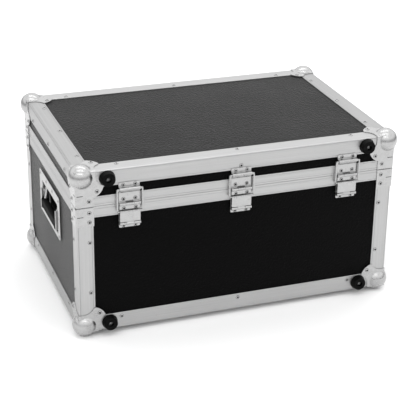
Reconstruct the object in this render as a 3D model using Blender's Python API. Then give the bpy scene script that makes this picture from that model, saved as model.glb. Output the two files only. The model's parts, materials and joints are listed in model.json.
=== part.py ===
"""Hard equipment case: plywood panels in aluminium edge extrusions, with steel ball corners.

The case lies in the XY plane with Z up. X runs along its length, -Y is the face that carries
the hinges and the rubber feet, +Y is the face that carries the latches, and the two carrying
handles are in the -X and +X ends.  The base and the lid meet at the parting line.

Shell coordinates have their zero in the middle of the shell's underside.  The empty
"case_frame" lifts the shell onto its four lower ball corners and centres the whole case.
All lengths are in metres.
"""

import math

import bmesh
import bpy
from mathutils import Matrix, Vector

# Shell ------------------------------------------------------------------------------------
WIDTH = 0.600
DEPTH = 0.402
HEIGHT = 0.309
FLANGE = 0.030
SHEET = 0.0015
GAP = 0.0003
PLY = 0.007
PANEL_INSET = SHEET + GAP

# Closing profiles on both sides of the parting line --------------------------------------
PARTING_Z = 0.2435
PARTING_HALF_GAP = 0.00015
RIM_BOTTOM_Z = 0.223
RIM_TOP_Z = 0.2622
RIM_DEPTH = 0.0105
TONGUE_DEPTH = 0.0080
TONGUE_HEIGHT = 0.0050
INNER_LEG = 0.011

# Ball corners -----------------------------------------------------------------------------
BALL_RADIUS = 0.022
BALL_INSET = 0.012
BALL_PROUD = BALL_RADIUS - BALL_INSET
BALL_SHEET = 0.0015
BALL_SEGMENTS = 16
BALL_RINGS = 8
PLATE_PROUD = 0.0015
PLATE_REACH = 0.0353
PLATE_STRAIGHT = 0.0085
THROAT_RADIUS = 0.020
FAN_CENTRE = 0.022
FAN_RADIUS = 0.0278
FAN_ROUND = 0.0035
LEG_WIDTH = 0.031
BRACE_BOTTOM_Z = 0.2075

# Rubber feet ------------------------------------------------------------------------------
FOOT_HEIGHT = 0.012
FOOT_BASE_RADIUS = 0.01425
FOOT_FACE_RADIUS = 0.0122
FOOT_RECESS_RADIUS = 0.0048
FOOT_RECESS_DEPTH = 0.0055
FOOT_RIM_HEIGHT = 0.0020
FOOT_CHAMFER = 0.0015
FOOT_X = 0.2445
FOOT_EDGE = FLANGE / 2

# Stay hinges ------------------------------------------------------------------------------
HINGE_XS = (-0.206, 0.0, 0.206)
HINGE_HALF_WIDTH = 0.019
PIVOT_PROUD = 0.006
BARREL_RADIUS = 0.0030
BORE_RADIUS = 0.0018
PIN_RADIUS = 0.0015
KNUCKLE_HALF = 0.0067
KNUCKLE_GAP = 0.0003
HINGE_SHEET = 0.0015
LID_PLATE_TOP_Z = 0.284
BASE_PLATE_BOTTOM_Z = 0.198
LID_STAY_Z = 0.2715
BASE_STAY_Z = 0.2067
STAY_HALF_WIDTH = 0.024
STAY_BAR = 0.0030
STAY_ROUND = 0.0045
STAY_BOTTOM_Z = 0.2292
STAY_SLEEVE_HEIGHT = 0.0045
STAY_SLEEVE_HALF = 0.0028
STRAP_SLOT_HALF = 0.0016
STRAP_SHEET = 0.0015
STRAP_TOP_Z = 0.2312
STRAP_TONGUE_HALF = 0.0070
STRAP_CLEARANCE = 0.0006
STRAP_SHOULDER_GAP = 0.0010

# Carrying handles -------------------------------------------------------------------------
HANDLE_HALF_LENGTH = 0.079
HANDLE_BOTTOM_Z = 0.125
HANDLE_TOP_Z = 0.210
HANDLE_RECESS_HALF = 0.062
HANDLE_RECESS_BOTTOM_Z = 0.133
HANDLE_RECESS_TOP_Z = 0.190
HANDLE_RECESS_DEPTH = 0.013
HANDLE_PIVOT_Z = 0.184
HANDLE_PIVOT_INSET = 0.006
HANDLE_ARM_Y = 0.047
HANDLE_ARM_RADIUS = 0.0035
HANDLE_PIN_LENGTH = 0.012
HANDLE_PIN_RADIUS = 0.0025
HANDLE_LUG_GAP = 0.0006
GRIP_BOTTOM_Z = 0.137
GRIP_HEIGHT = 0.022
GRIP_THICKNESS = 0.013
GRIP_PROUD = 0.006
GRIP_ROUND = 0.004
GRIP_HALF_LENGTH = 0.054
DISH_SHEET = 0.0012

# Butterfly latches ------------------------------------------------------------------------
LATCH_XS = (-0.180, 0.180)
LATCH_HALF_WIDTH = 0.0445
LATCH_FLANGE = 0.0075
LATCH_BOTTOM_Z = 0.166
LATCH_TOP_Z = RIM_TOP_Z - GAP
LATCH_FLOOR_INSET = 0.0077
LATCH_PARTING_GAP = 0.0005
CAM_Z = 0.203
CAM_RADIUS = 0.013
CAM_SHEET = 0.0017
WING_FOLD_RISE = 0.007
WING_HALF_WIDTH = 0.026
WING_REACH = 0.030
WING_SHEET = 0.0016
WING_INSET = 0.0002
WING_ROUND = 0.004
WING_NOTCH_HALF = 0.0056
CAM_LUG_HALF = 0.0050
HOOK_HALF_WIDTH = 0.012
HOOK_PIVOT_Z = 0.2265
HOOK_PIVOT_INSET = 0.0045
HOOK_SHEET = 0.0015
HOOK_TOP_Z = 0.2535
HOOK_NOSE = 0.0022
HOOK_OPEN_ANGLE = math.radians(14)
CATCH_TOP_Z = 0.2505
CATCH_HEIGHT = 0.0025
CATCH_HALF_WIDTH = 0.014
SLOT_MARGIN = 0.0010
HOOK_EAR_RISE = 0.0024
HOOK_EAR_WIDTH = 0.0024
HOOK_EAR_GAP = 0.0006

ROUND_SIDES = 12
ARC_STEPS = 6
WELD_DISTANCE = 0.00002
FLAT_ANGLE = math.radians(0.1)

FINISHES = {
    "aluminium": ((0.62, 0.62, 0.63, 1.0), 0.38, 1.0),
    "zinc_steel": ((0.66, 0.66, 0.67, 1.0), 0.30, 1.0),
    "black_laminate": ((0.018, 0.018, 0.019, 1.0), 0.45, 0.0),
    "black_rubber": ((0.012, 0.012, 0.012, 1.0), 0.60, 0.0),
}


# Scene helpers ----------------------------------------------------------------------------
def clear_scene():
    """Remove every object of the open scene."""
    for item in list(bpy.context.scene.objects):
        bpy.data.objects.remove(item, do_unlink=True)


def new_collection(name):
    """A collection in the scene."""
    collection = bpy.data.collections.new(name)
    bpy.context.scene.collection.children.link(collection)
    return collection


def finish_material(name):
    """A Principled material in one of the case's finishes."""
    existing = bpy.data.materials.get(name)
    if existing:
        return existing
    colour, roughness, metallic = FINISHES[name]
    material = bpy.data.materials.new(name)
    material.use_nodes = True
    shader = material.node_tree.nodes["Principled BSDF"]
    shader.inputs["Base Color"].default_value = colour
    shader.inputs["Roughness"].default_value = roughness
    shader.inputs["Metallic"].default_value = metallic
    material.diffuse_color = colour
    return material


def new_pivot(name, position, holder):
    """An empty on a joint's axis, at a place in shell coordinates."""
    pivot = bpy.data.objects.new(name, None)
    PARTS.objects.link(pivot)
    pivot.empty_display_size = 0.02
    pivot.location = position
    place_under(pivot, holder)
    return pivot


def place_under(child, holder):
    """Parent an object that is placed in shell coordinates to an unturned holder."""
    child.parent = holder
    step = holder
    while step is not SHELL:
        child.location -= step.location
        step = step.parent


def new_object(name, bm, collection):
    """Close a bmesh into an object with outward faces."""
    bmesh.ops.recalc_face_normals(bm, faces=bm.faces)
    mesh = bpy.data.meshes.new(name)
    bm.to_mesh(mesh)
    bm.free()
    item = bpy.data.objects.new(name, mesh)
    collection.objects.link(item)
    return item


def add_piece(name, bm, finish, holder):
    """A named piece of the case with its finish."""
    piece = new_object(name, bm, PARTS)
    piece.data.materials.append(finish_material(finish))
    piece.data.shade_smooth()
    piece.data.set_sharp_from_angle(angle=math.radians(30))
    place_under(piece, holder)
    return piece


def add_tool(name, bm):
    """A shape that only cuts or extends other pieces."""
    tool = new_object(name, bm, TOOLS)
    tool.hide_render = True
    tool.display_type = "WIRE"
    tool.parent = SHELL
    return tool


def combine(piece, bm, operation):
    """Cut a shape out of a piece, or join it to the piece."""
    count = len(piece.modifiers)
    tool = add_tool(f"{piece.name}_{operation.lower()}_{count}", bm)
    modifier = piece.modifiers.new(f"{operation.lower()}_{count}", "BOOLEAN")
    modifier.operation = operation
    modifier.solver = "EXACT"
    modifier.object = tool


def cut(piece, bm):
    """Cut a shape out of a piece."""
    combine(piece, bm, "DIFFERENCE")


def join(piece, bm):
    """Join an overlapping shape to a piece."""
    combine(piece, bm, "UNION")


def clean_up(piece):
    """Merge the points that Booleans leave almost together, and join flat faces."""
    weld = piece.modifiers.new("weld", "WELD")
    weld.merge_threshold = WELD_DISTANCE
    flatten = piece.modifiers.new("flatten", "DECIMATE")
    flatten.decimate_type = "DISSOLVE"
    flatten.angle_limit = FLAT_ANGLE


# Shapes -----------------------------------------------------------------------------------
def box(low, high):
    """A block between two corners."""
    bm = bmesh.new()
    low = Vector(low)
    high = Vector(high)
    size = high - low
    matrix = Matrix.Translation((low + high) / 2) @ Matrix.Diagonal((*size, 1.0))
    bmesh.ops.create_cube(bm, size=1.0, matrix=matrix)
    return bm


def rod(start, end, radius, sides=ROUND_SIDES):
    """A round bar between two points."""
    bm = bmesh.new()
    start = Vector(start)
    end = Vector(end)
    along = end - start
    turn = along.to_track_quat("Z", "Y").to_matrix().to_4x4()
    matrix = Matrix.Translation((start + end) / 2) @ turn
    bmesh.ops.create_cone(bm, cap_ends=True, segments=sides, radius1=radius, radius2=radius,
                          depth=along.length, matrix=matrix)
    return bm


def ball(centre, radius):
    """A round ball."""
    bm = bmesh.new()
    bmesh.ops.create_uvsphere(bm, u_segments=BALL_SEGMENTS, v_segments=BALL_RINGS,
                              radius=radius, matrix=Matrix.Translation(centre))
    return bm


def prism(outline, push):
    """A flat outline of 3-D points, pushed out along a vector."""
    bm = bmesh.new()
    face = bm.faces.new([bm.verts.new(point) for point in outline])
    grown = bmesh.ops.extrude_face_region(bm, geom=[face])
    moved = [item for item in grown["geom"] if isinstance(item, bmesh.types.BMVert)]
    bmesh.ops.translate(bm, verts=moved, vec=push)
    return bm


def arc(centre, radius, start, end, steps=ARC_STEPS):
    """Points of an arc in a plane, with its angles in radians."""
    turns = [start + (end - start) * step / steps for step in range(steps + 1)]
    return [(centre[0] + radius * math.cos(turn), centre[1] + radius * math.sin(turn))
            for turn in turns]


def rounded_rectangle(low, high, radius, steps=3):
    """Points of a rectangle with rounded corners."""
    points = []
    centres = [(high[0] - radius, high[1] - radius), (low[0] + radius, high[1] - radius),
               (low[0] + radius, low[1] + radius), (high[0] - radius, low[1] + radius)]
    for quarter, centre in enumerate(centres):
        start = quarter * math.pi / 2
        points += arc(centre, radius, start, start + math.pi / 2, steps)
    return points


def mitred_ring(section):
    """A rectangular ring round the shell whose section is (depth from the outside, z) points.

    A square ring is spun round first, and its halves are then moved to the case's depth.
    """
    bm = bmesh.new()
    verts = [bm.verts.new((WIDTH / 2 - inset, WIDTH / 2 - inset, z)) for inset, z in section]
    loop = [bm.edges.new((verts[index - 1], verts[index])) for index in range(len(verts))]
    bmesh.ops.spin(bm, geom=loop, cent=(0, 0, 0), axis=(0, 0, 1), angle=2 * math.pi, steps=4)
    bmesh.ops.remove_doubles(bm, verts=bm.verts, dist=0.00001)
    for vert in bm.verts:
        vert.co.y -= math.copysign((WIDTH - DEPTH) / 2, vert.co.y)
    return bm


def turned(profile, place):
    """A solid of revolution from (radius, height) points, closed on its axis."""
    bm = bmesh.new()
    verts = [bm.verts.new((radius, 0, height)) for radius, height in profile]
    edges = [bm.edges.new(pair) for pair in zip(verts, verts[1:])]
    bmesh.ops.spin(bm, geom=edges, cent=(0, 0, 0), axis=(0, 0, 1), angle=2 * math.pi,
                   steps=ROUND_SIDES)
    bmesh.ops.remove_doubles(bm, verts=bm.verts, dist=0.00001)
    bmesh.ops.transform(bm, matrix=place, verts=bm.verts)
    return bm


# Panels and extrusions --------------------------------------------------------------------
def build_base_panels():
    """The five plywood panels of the base."""
    outer_x = WIDTH / 2 - PANEL_INSET
    outer_y = DEPTH / 2 - PANEL_INSET
    inner_x = outer_x - PLY
    inner_y = outer_y - PLY
    floor = PANEL_INSET + PLY
    wall_low = floor + GAP
    wall_high = PARTING_Z - PARTING_HALF_GAP - SHEET - GAP
    add_piece("base_bottom_panel", box((-outer_x, -outer_y, PANEL_INSET), (outer_x, outer_y, floor)),
              "black_laminate", SHELL)
    long_x = inner_x - GAP
    for name, side in (("base_hinge_panel", -1), ("base_latch_panel", 1)):
        ys = sorted((side * inner_y, side * outer_y))
        panel = add_piece(name, box((-long_x, ys[0], wall_low), (long_x, ys[1], wall_high)),
                          "black_laminate", SHELL)
        if side > 0:
            for x in LATCH_XS:
                cut(panel, latch_opening(x, wall_high + SHEET))
    for name, side in (("base_left_panel", -1), ("base_right_panel", 1)):
        xs = sorted((side * inner_x, side * outer_x))
        panel = add_piece(name, box((xs[0], -outer_y, wall_low), (xs[1], outer_y, wall_high)),
                          "black_laminate", SHELL)
        cut(panel, handle_opening(side))


def build_lid_panels():
    """The lid's top panel and the plywood wall below it."""
    outer_x = WIDTH / 2 - PANEL_INSET
    outer_y = DEPTH / 2 - PANEL_INSET
    under = HEIGHT - PANEL_INSET - PLY
    add_piece("lid_top_panel", box((-outer_x, -outer_y, under), (outer_x, outer_y, under + PLY)),
              "black_laminate", LID)
    low = PARTING_Z + TONGUE_HEIGHT + GAP + SHEET + GAP
    section = [(PANEL_INSET, low), (PANEL_INSET + PLY, low),
               (PANEL_INSET + PLY, under - GAP), (PANEL_INSET, under - GAP)]
    skirt = add_piece("lid_skirt", mitred_ring(section), "black_laminate", LID)
    for x in LATCH_XS:
        cut(skirt, latch_opening(x, LATCH_TOP_Z + GAP))


def angle_section(edge_z, direction):
    """Section of an edge extrusion whose arris is at one height."""
    return [(0, edge_z), (FLANGE, edge_z), (FLANGE, edge_z + direction * SHEET),
            (SHEET, edge_z + direction * SHEET), (SHEET, edge_z + direction * FLANGE),
            (0, edge_z + direction * FLANGE)]


def build_edge_extrusions():
    """Edge extrusions round the bottom and the top, and up the four corners of the base."""
    add_piece("bottom_edge_frame", mitred_ring(angle_section(0, 1)), "aluminium", SHELL)
    add_piece("top_edge_frame", mitred_ring(angle_section(HEIGHT, -1)), "aluminium", LID)
    low = FLANGE + GAP
    high = RIM_BOTTOM_Z - GAP
    for name, sx, sy in CORNERS:
        outline = [(0, 0), (FLANGE, 0), (FLANGE, SHEET), (SHEET, SHEET), (SHEET, FLANGE),
                   (0, FLANGE)]
        points = [(sx * (WIDTH / 2 - a), sy * (DEPTH / 2 - b), low) for a, b in outline]
        add_piece(f"corner_post_{name}", prism(points, (0, 0, high - low)), "aluminium", SHELL)


def build_rims():
    """The closing profiles: the base's has a tongue that the lid's closes over."""
    top = PARTING_Z - PARTING_HALF_GAP
    web = top - SHEET
    inner = RIM_DEPTH - SHEET
    base = [(0, RIM_BOTTOM_Z), (SHEET, RIM_BOTTOM_Z), (SHEET, web), (inner, web),
            (inner, web - INNER_LEG), (RIM_DEPTH, web - INNER_LEG),
            (RIM_DEPTH, PARTING_Z + TONGUE_HEIGHT), (TONGUE_DEPTH, PARTING_Z + TONGUE_HEIGHT),
            (TONGUE_DEPTH, top), (0, top)]
    base_rim = add_piece("base_rim", mitred_ring(base), "aluminium", SHELL)
    low = PARTING_Z + PARTING_HALF_GAP
    web = PARTING_Z + TONGUE_HEIGHT + GAP
    lid = [(0, low), (SHEET, low), (SHEET, web), (RIM_DEPTH, web), (RIM_DEPTH, web + INNER_LEG),
           (inner, web + INNER_LEG), (inner, web + SHEET), (SHEET, web + SHEET),
           (SHEET, RIM_TOP_Z), (0, RIM_TOP_Z)]
    lid_rim = add_piece("lid_rim", mitred_ring(lid), "aluminium", LID)
    for x in LATCH_XS:
        half = LATCH_HALF_WIDTH + GAP
        wall = DEPTH / 2
        for rim in (base_rim, lid_rim):
            cut(rim, box((x - half, wall - TONGUE_DEPTH - GAP, RIM_BOTTOM_Z - FLANGE),
                         (x + half, wall + FLANGE, RIM_TOP_Z + FLANGE)))


# Ball corners -----------------------------------------------------------------------------
def corner_point(corner, inset):
    """The shell point at inward distances along X, Y and Z from one corner of the shell."""
    sx, sy, sz = corner
    return Vector((sx * (WIDTH / 2 - inset[0]), sy * (DEPTH / 2 - inset[1]),
                   HEIGHT / 2 + sz * (HEIGHT / 2 - inset[2])))


def circles_meet(first, first_radius, second, second_radius):
    """The meeting point of two circles that lies to the left of the way from first to second."""
    way = second - first
    along = (first_radius ** 2 - second_radius ** 2 + way.length_squared) / (2 * way.length)
    across = math.sqrt(first_radius ** 2 - along ** 2)
    left = Vector((-way.y, way.x)).normalized()
    return first + way.normalized() * along + left * across


def petal_outline(leg_end=None):
    """Outline of a corner plate: straight by both edges, with a fan between two hollow throats.

    With leg_end the plate also has a leg that runs down to that distance from the edge.
    """
    fan = Vector((FAN_CENTRE, FAN_CENTRE))
    throat = Vector((PLATE_REACH + THROAT_RADIUS, PLATE_STRAIGHT))
    tip = circles_meet(fan, FAN_RADIUS - FAN_ROUND, throat, THROAT_RADIUS + FAN_ROUND)
    hollow = arc(throat, THROAT_RADIUS, math.pi, math.atan2(tip.y - throat.y, tip.x - throat.x), 4)
    fan_start = math.atan2(tip.y - fan.y, tip.x - fan.x)
    rounding = arc(tip, FAN_ROUND, math.atan2(throat.y - tip.y, throat.x - tip.x), fan_start, 2)
    side = hollow + rounding[1:]
    start = -PLATE_PROUD
    clip = PLATE_PROUD * 3
    points = [(start, clip), (clip, start), (PLATE_REACH, start)] + side
    if leg_end:
        points += arc(fan, FAN_RADIUS, fan_start, math.acos((LEG_WIDTH - FAN_CENTRE) / FAN_RADIUS))[1:]
        return points + [(LEG_WIDTH, leg_end), (start, leg_end)]
    points += arc(fan, FAN_RADIUS, fan_start, math.pi / 2 - fan_start)[1:-1]
    points += [(y, x) for x, y in reversed(side)]
    return points + [(start, PLATE_REACH)]


def face_plate(corner, axis, outline):
    """A corner plate on the shell face across one axis, reaching a little into the shell."""
    places = {0: lambda p, q, depth: (depth, p, q), 1: lambda p, q, depth: (p, depth, q),
              2: lambda p, q, depth: (p, q, depth)}
    outer = [corner_point(corner, places[axis](p, q, -PLATE_PROUD)) for p, q in outline]
    inner = corner_point(corner, places[axis](0, 0, PLATE_PROUD))
    push = inner - corner_point(corner, places[axis](0, 0, -PLATE_PROUD))
    return prism(outer, push)


def shell_block():
    """The space inside the shell's outer faces, with the gap that fittings keep to it."""
    return box((-WIDTH / 2 - GAP, -DEPTH / 2 - GAP, -GAP),
               (WIDTH / 2 + GAP, DEPTH / 2 + GAP, HEIGHT + GAP))


def build_ball_corners():
    """Pressed steel balls with three rivet plates, and a leg down each side on the lid's."""
    leg_end = HEIGHT - PARTING_Z - PARTING_HALF_GAP
    for name, sx, sy in CORNERS:
        for level, sz, holder in (("bottom", -1, SHELL), ("top", 1, LID)):
            corner = (sx, sy, sz)
            side_outline = petal_outline(leg_end) if sz > 0 else petal_outline()
            piece = add_piece(f"ball_corner_{level}_{name}",
                              face_plate(corner, 2, petal_outline()), "zinc_steel", holder)
            join(piece, face_plate(corner, 0, side_outline))
            join(piece, face_plate(corner, 1, side_outline))
            centre = corner_point(corner, (BALL_INSET, BALL_INSET, BALL_INSET))
            join(piece, ball(centre, BALL_RADIUS))
            cut(piece, ball(centre, BALL_RADIUS - BALL_SHEET))
            cut(piece, shell_block())
            clean_up(piece)


def build_corner_braces():
    """Bent plates round the base's corners below the parting line."""
    outer = -PLATE_PROUD
    inner = -GAP
    outline = [(outer, outer), (LEG_WIDTH, outer), (LEG_WIDTH, inner), (inner, inner),
               (inner, LEG_WIDTH), (outer, LEG_WIDTH)]
    height = PARTING_Z - PARTING_HALF_GAP - BRACE_BOTTOM_Z
    for name, sx, sy in CORNERS:
        points = [(sx * (WIDTH / 2 - a), sy * (DEPTH / 2 - b), BRACE_BOTTOM_Z)
                  for a, b in outline]
        add_piece(f"corner_brace_{name}", prism(points, (0, 0, height)), "zinc_steel", SHELL)


# Rubber feet ------------------------------------------------------------------------------
def build_feet():
    """Tapered rubber feet on the hinge face, so that the case can stand on it."""
    profile = [(0, GAP), (FOOT_BASE_RADIUS, GAP), (FOOT_BASE_RADIUS, FOOT_RIM_HEIGHT),
               (FOOT_FACE_RADIUS, FOOT_HEIGHT - FOOT_CHAMFER),
               (FOOT_FACE_RADIUS - FOOT_CHAMFER, FOOT_HEIGHT),
               (FOOT_RECESS_RADIUS, FOOT_HEIGHT),
               (FOOT_RECESS_RADIUS, FOOT_HEIGHT - FOOT_RECESS_DEPTH),
               (0, FOOT_HEIGHT - FOOT_RECESS_DEPTH)]
    outward = Matrix.Rotation(math.pi / 2, 4, "X")
    for level, z, holder in (("lower", FOOT_EDGE, SHELL), ("upper", HEIGHT - FOOT_EDGE, LID)):
        for side, x in (("left", -FOOT_X), ("right", FOOT_X)):
            place = Matrix.Translation((x, -DEPTH / 2, z)) @ outward
            add_piece(f"rubber_foot_{level}_{side}", turned(profile, place), "black_rubber",
                      holder)


# Stay hinges ------------------------------------------------------------------------------
def hinge_sheet(x, half, low, high):
    """A flat leaf that lies on the hinge face."""
    face = -DEPTH / 2 - GAP
    return box((x - half, face - HINGE_SHEET, low), (x + half, face, high))


def hinge_bridge(x_low, x_high, z_low, z_high):
    """The bend between a leaf and its barrel."""
    leaf = -DEPTH / 2 - GAP - HINGE_SHEET / 2
    return box((x_low, PIVOT_Y, z_low), (x_high, leaf, z_high))


def add_barrel(piece, x_low, x_high, z, side):
    """A bored barrel on the pivot line, bent from the leaf above (side 1) or below (-1)."""
    near = z + side * (BORE_RADIUS + 0.0001)
    far = z + side * (BARREL_RADIUS - 0.0001)
    trim = 0.0002
    join(piece, rod((x_low, PIVOT_Y, z), (x_high, PIVOT_Y, z), BARREL_RADIUS))
    join(piece, hinge_bridge(x_low + trim, x_high - trim, min(near, far), max(near, far)))
    over = 0.001
    cut(piece, rod((x_low - over, PIVOT_Y, z), (x_high + over, PIVOT_Y, z), BORE_RADIUS))


def build_hinge(index, x):
    """One stay hinge: two leaves, their pin, the stay frame and the strap that slides in it."""
    half = HINGE_HALF_WIDTH
    inner = KNUCKLE_HALF + KNUCKLE_GAP
    leaf_end = (BORE_RADIUS + BARREL_RADIUS) / 2
    lid_low = PARTING_Z + leaf_end
    base_high = PARTING_Z - leaf_end
    lid_plate = add_piece(f"hinge_lid_plate_{index}", hinge_sheet(x, half, lid_low, LID_PLATE_TOP_Z),
                          "zinc_steel", LID)
    add_barrel(lid_plate, x - half, x - inner, PARTING_Z, 1)
    add_barrel(lid_plate, x + inner, x + half, PARTING_Z, 1)
    eye_half = half - 0.0005
    add_barrel(lid_plate, x - eye_half, x + eye_half, LID_STAY_Z, 1)
    base_plate = add_piece(f"hinge_base_plate_{index}",
                           hinge_sheet(x, half, BASE_PLATE_BOTTOM_Z, base_high), "zinc_steel", SHELL)
    add_barrel(base_plate, x - KNUCKLE_HALF, x + KNUCKLE_HALF, PARTING_Z, -1)
    ear = STRAP_TONGUE_HALF + STRAP_CLEARANCE
    add_barrel(base_plate, x - half, x - ear, BASE_STAY_Z, -1)
    add_barrel(base_plate, x + ear, x + half, BASE_STAY_Z, -1)
    add_piece(f"hinge_pin_{index}", rod((x - half, PIVOT_Y, PARTING_Z), (x + half, PIVOT_Y, PARTING_Z),
                                        PIN_RADIUS), "zinc_steel", SHELL)
    build_stay_frame(index, x)
    build_stay_strap(index, x)


def build_stay_frame(index, x):
    """The sliding frame of the lid stay, which swings on a bar in the lid leaf's eye."""
    pivot = new_pivot(f"stay_frame_pivot_{index}", (x, PIVOT_Y, LID_STAY_Z), LID)
    outer = STAY_HALF_WIDTH
    inner = outer - STAY_BAR
    top = LID_STAY_Z + PIN_RADIUS
    front = PIVOT_Y - STRAP_SHEET / 2
    back = PIVOT_Y + STRAP_SHEET / 2
    window_low = STAY_BOTTOM_Z + STAY_SLEEVE_HEIGHT
    outline = rounded_rectangle((x - outer, STAY_BOTTOM_Z), (x + outer, top), STAY_ROUND)
    frame = add_piece(f"stay_frame_{index}",
                      prism([(px, front, pz) for px, pz in outline], (0, STRAP_SHEET, 0)),
                      "zinc_steel", pivot)
    over = 0.002
    cut(frame, box((x - inner, front - over, window_low), (x + inner, back + over, top + over)))
    join(frame, rod((x - outer + STAY_BAR / 2, PIVOT_Y, LID_STAY_Z),
                    (x + outer - STAY_BAR / 2, PIVOT_Y, LID_STAY_Z), PIN_RADIUS))
    join(frame, box((x - outer + STAY_BAR / 4, PIVOT_Y - STAY_SLEEVE_HALF, STAY_BOTTOM_Z + GAP),
                    (x + outer - STAY_BAR / 4, PIVOT_Y + STAY_SLEEVE_HALF, window_low - GAP)))
    slot = HINGE_HALF_WIDTH + GAP
    cut(frame, box((x - slot, PIVOT_Y - STRAP_SLOT_HALF, STAY_BOTTOM_Z - over),
                   (x + slot, PIVOT_Y + STRAP_SLOT_HALF, window_low + over)))


def build_stay_strap(index, x):
    """The strap that turns on the base leaf and slides through the stay frame."""
    pivot = new_pivot(f"stay_strap_pivot_{index}", (x, PIVOT_Y, BASE_STAY_Z), SHELL)
    half = HINGE_HALF_WIDTH - STRAP_CLEARANCE
    tongue = STRAP_TONGUE_HALF
    shoulder = BASE_STAY_Z + BARREL_RADIUS + STRAP_SHOULDER_GAP
    front = PIVOT_Y - STRAP_SHEET / 2
    outline = [(x - tongue, BASE_STAY_Z), (x + tongue, BASE_STAY_Z), (x + tongue, shoulder),
               (x + half, shoulder), (x + half, STRAP_TOP_Z), (x - half, STRAP_TOP_Z),
               (x - half, shoulder), (x - tongue, shoulder)]
    strap = add_piece(f"stay_strap_{index}",
                      prism([(px, front, pz) for px, pz in outline], (0, STRAP_SHEET, 0)),
                      "zinc_steel", pivot)
    join(strap, rod((x - HINGE_HALF_WIDTH, PIVOT_Y, BASE_STAY_Z),
                    (x + HINGE_HALF_WIDTH, PIVOT_Y, BASE_STAY_Z), PIN_RADIUS))


# Carrying handles -------------------------------------------------------------------------
def end_box(side, y_low, y_high, z_low, z_high, inset_low, inset_high):
    """A block at one end of the case, placed by its depth below the end's outer face."""
    xs = sorted((side * (WIDTH / 2 - inset_low), side * (WIDTH / 2 - inset_high)))
    return box((xs[0], y_low, z_low), (xs[1], y_high, z_high))


def handle_opening(side):
    """The opening that a handle dish needs in an end panel."""
    clear = DISH_SHEET + GAP
    half = HANDLE_RECESS_HALF + clear
    return end_box(side, -half, half, HANDLE_RECESS_BOTTOM_Z - clear, HANDLE_RECESS_TOP_Z + clear,
                   -FLANGE, FLANGE)


def build_handle(name, side):
    """A recessed dish and the sprung grip that swings out of it."""
    half = HANDLE_RECESS_HALF
    low = HANDLE_RECESS_BOTTOM_Z
    high = HANDLE_RECESS_TOP_Z
    wall = DISH_SHEET
    outer = PLATE_PROUD
    dish = add_piece(f"handle_dish_{name}",
                     end_box(side, -HANDLE_HALF_LENGTH, HANDLE_HALF_LENGTH, HANDLE_BOTTOM_Z,
                             HANDLE_TOP_Z, -outer, -GAP), "zinc_steel", SHELL)
    join(dish, end_box(side, -half - wall, half + wall, low - wall, high + wall,
                       -outer / 2, HANDLE_RECESS_DEPTH + wall))
    cut(dish, end_box(side, -half, half, low, high, -outer * 2, HANDLE_RECESS_DEPTH))
    pin_x = side * (WIDTH / 2 - HANDLE_PIVOT_INSET)
    pin_end = HANDLE_ARM_Y + HANDLE_PIN_LENGTH
    lug_start = HANDLE_ARM_Y + HANDLE_ARM_RADIUS + HANDLE_LUG_GAP
    for end in (-1, 1):
        lug = sorted((end * lug_start, end * (half + wall / 2)))
        join(dish, end_box(side, lug[0], lug[1], HANDLE_PIVOT_Z - HANDLE_ARM_RADIUS,
                           high + wall / 2, HANDLE_PIVOT_INSET - HANDLE_ARM_RADIUS,
                           HANDLE_RECESS_DEPTH + wall / 2))
        cut(dish, rod((pin_x, end * HANDLE_ARM_Y, HANDLE_PIVOT_Z),
                      (pin_x, end * (pin_end + HANDLE_LUG_GAP), HANDLE_PIVOT_Z),
                      HANDLE_PIN_RADIUS + GAP))
    pivot = new_pivot(f"handle_pivot_{name}", (pin_x, 0, HANDLE_PIVOT_Z), SHELL)
    build_grip(name, side, pivot, pin_x, pin_end)


def build_grip(name, side, pivot, pin_x, pin_end):
    """The rubber grip, hanging from its pins on two arms that lean out of the dish."""
    half = GRIP_THICKNESS / 2
    middle_x = side * (WIDTH / 2 + GRIP_PROUD - half)
    middle_z = GRIP_BOTTOM_Z + GRIP_HEIGHT / 2
    outline = rounded_rectangle((middle_x - half, GRIP_BOTTOM_Z),
                                (middle_x + half, GRIP_BOTTOM_Z + GRIP_HEIGHT), GRIP_ROUND)
    points = [(px, -GRIP_HALF_LENGTH, pz) for px, pz in outline]
    grip = add_piece(f"handle_grip_{name}", prism(points, (0, 2 * GRIP_HALF_LENGTH, 0)),
                     "black_rubber", pivot)
    for end in (-1, 1):
        foot = Vector((middle_x, end * HANDLE_ARM_Y, middle_z))
        top = Vector((pin_x, end * HANDLE_ARM_Y, HANDLE_PIVOT_Z))
        over = (top - foot).normalized() * HANDLE_PIN_RADIUS
        join(grip, rod(foot, top + over, HANDLE_ARM_RADIUS))
        join(grip, rod(top, (pin_x, end * pin_end, HANDLE_PIVOT_Z), HANDLE_PIN_RADIUS))


# Butterfly latches ------------------------------------------------------------------------
def face_box(x_low, x_high, z_low, z_high, inset_low, inset_high):
    """A block on the latch face, placed by its depth below the face."""
    wall = DEPTH / 2
    return box((x_low, wall - inset_high, z_low), (x_high, wall - inset_low, z_high))


def latch_opening(x, high):
    """The opening that a latch dish needs in the wall of the base or the lid."""
    half = LATCH_HALF_WIDTH + GAP
    return face_box(x - half, x + half, LATCH_BOTTOM_Z - GAP, high, -FLANGE, FLANGE)


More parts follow.
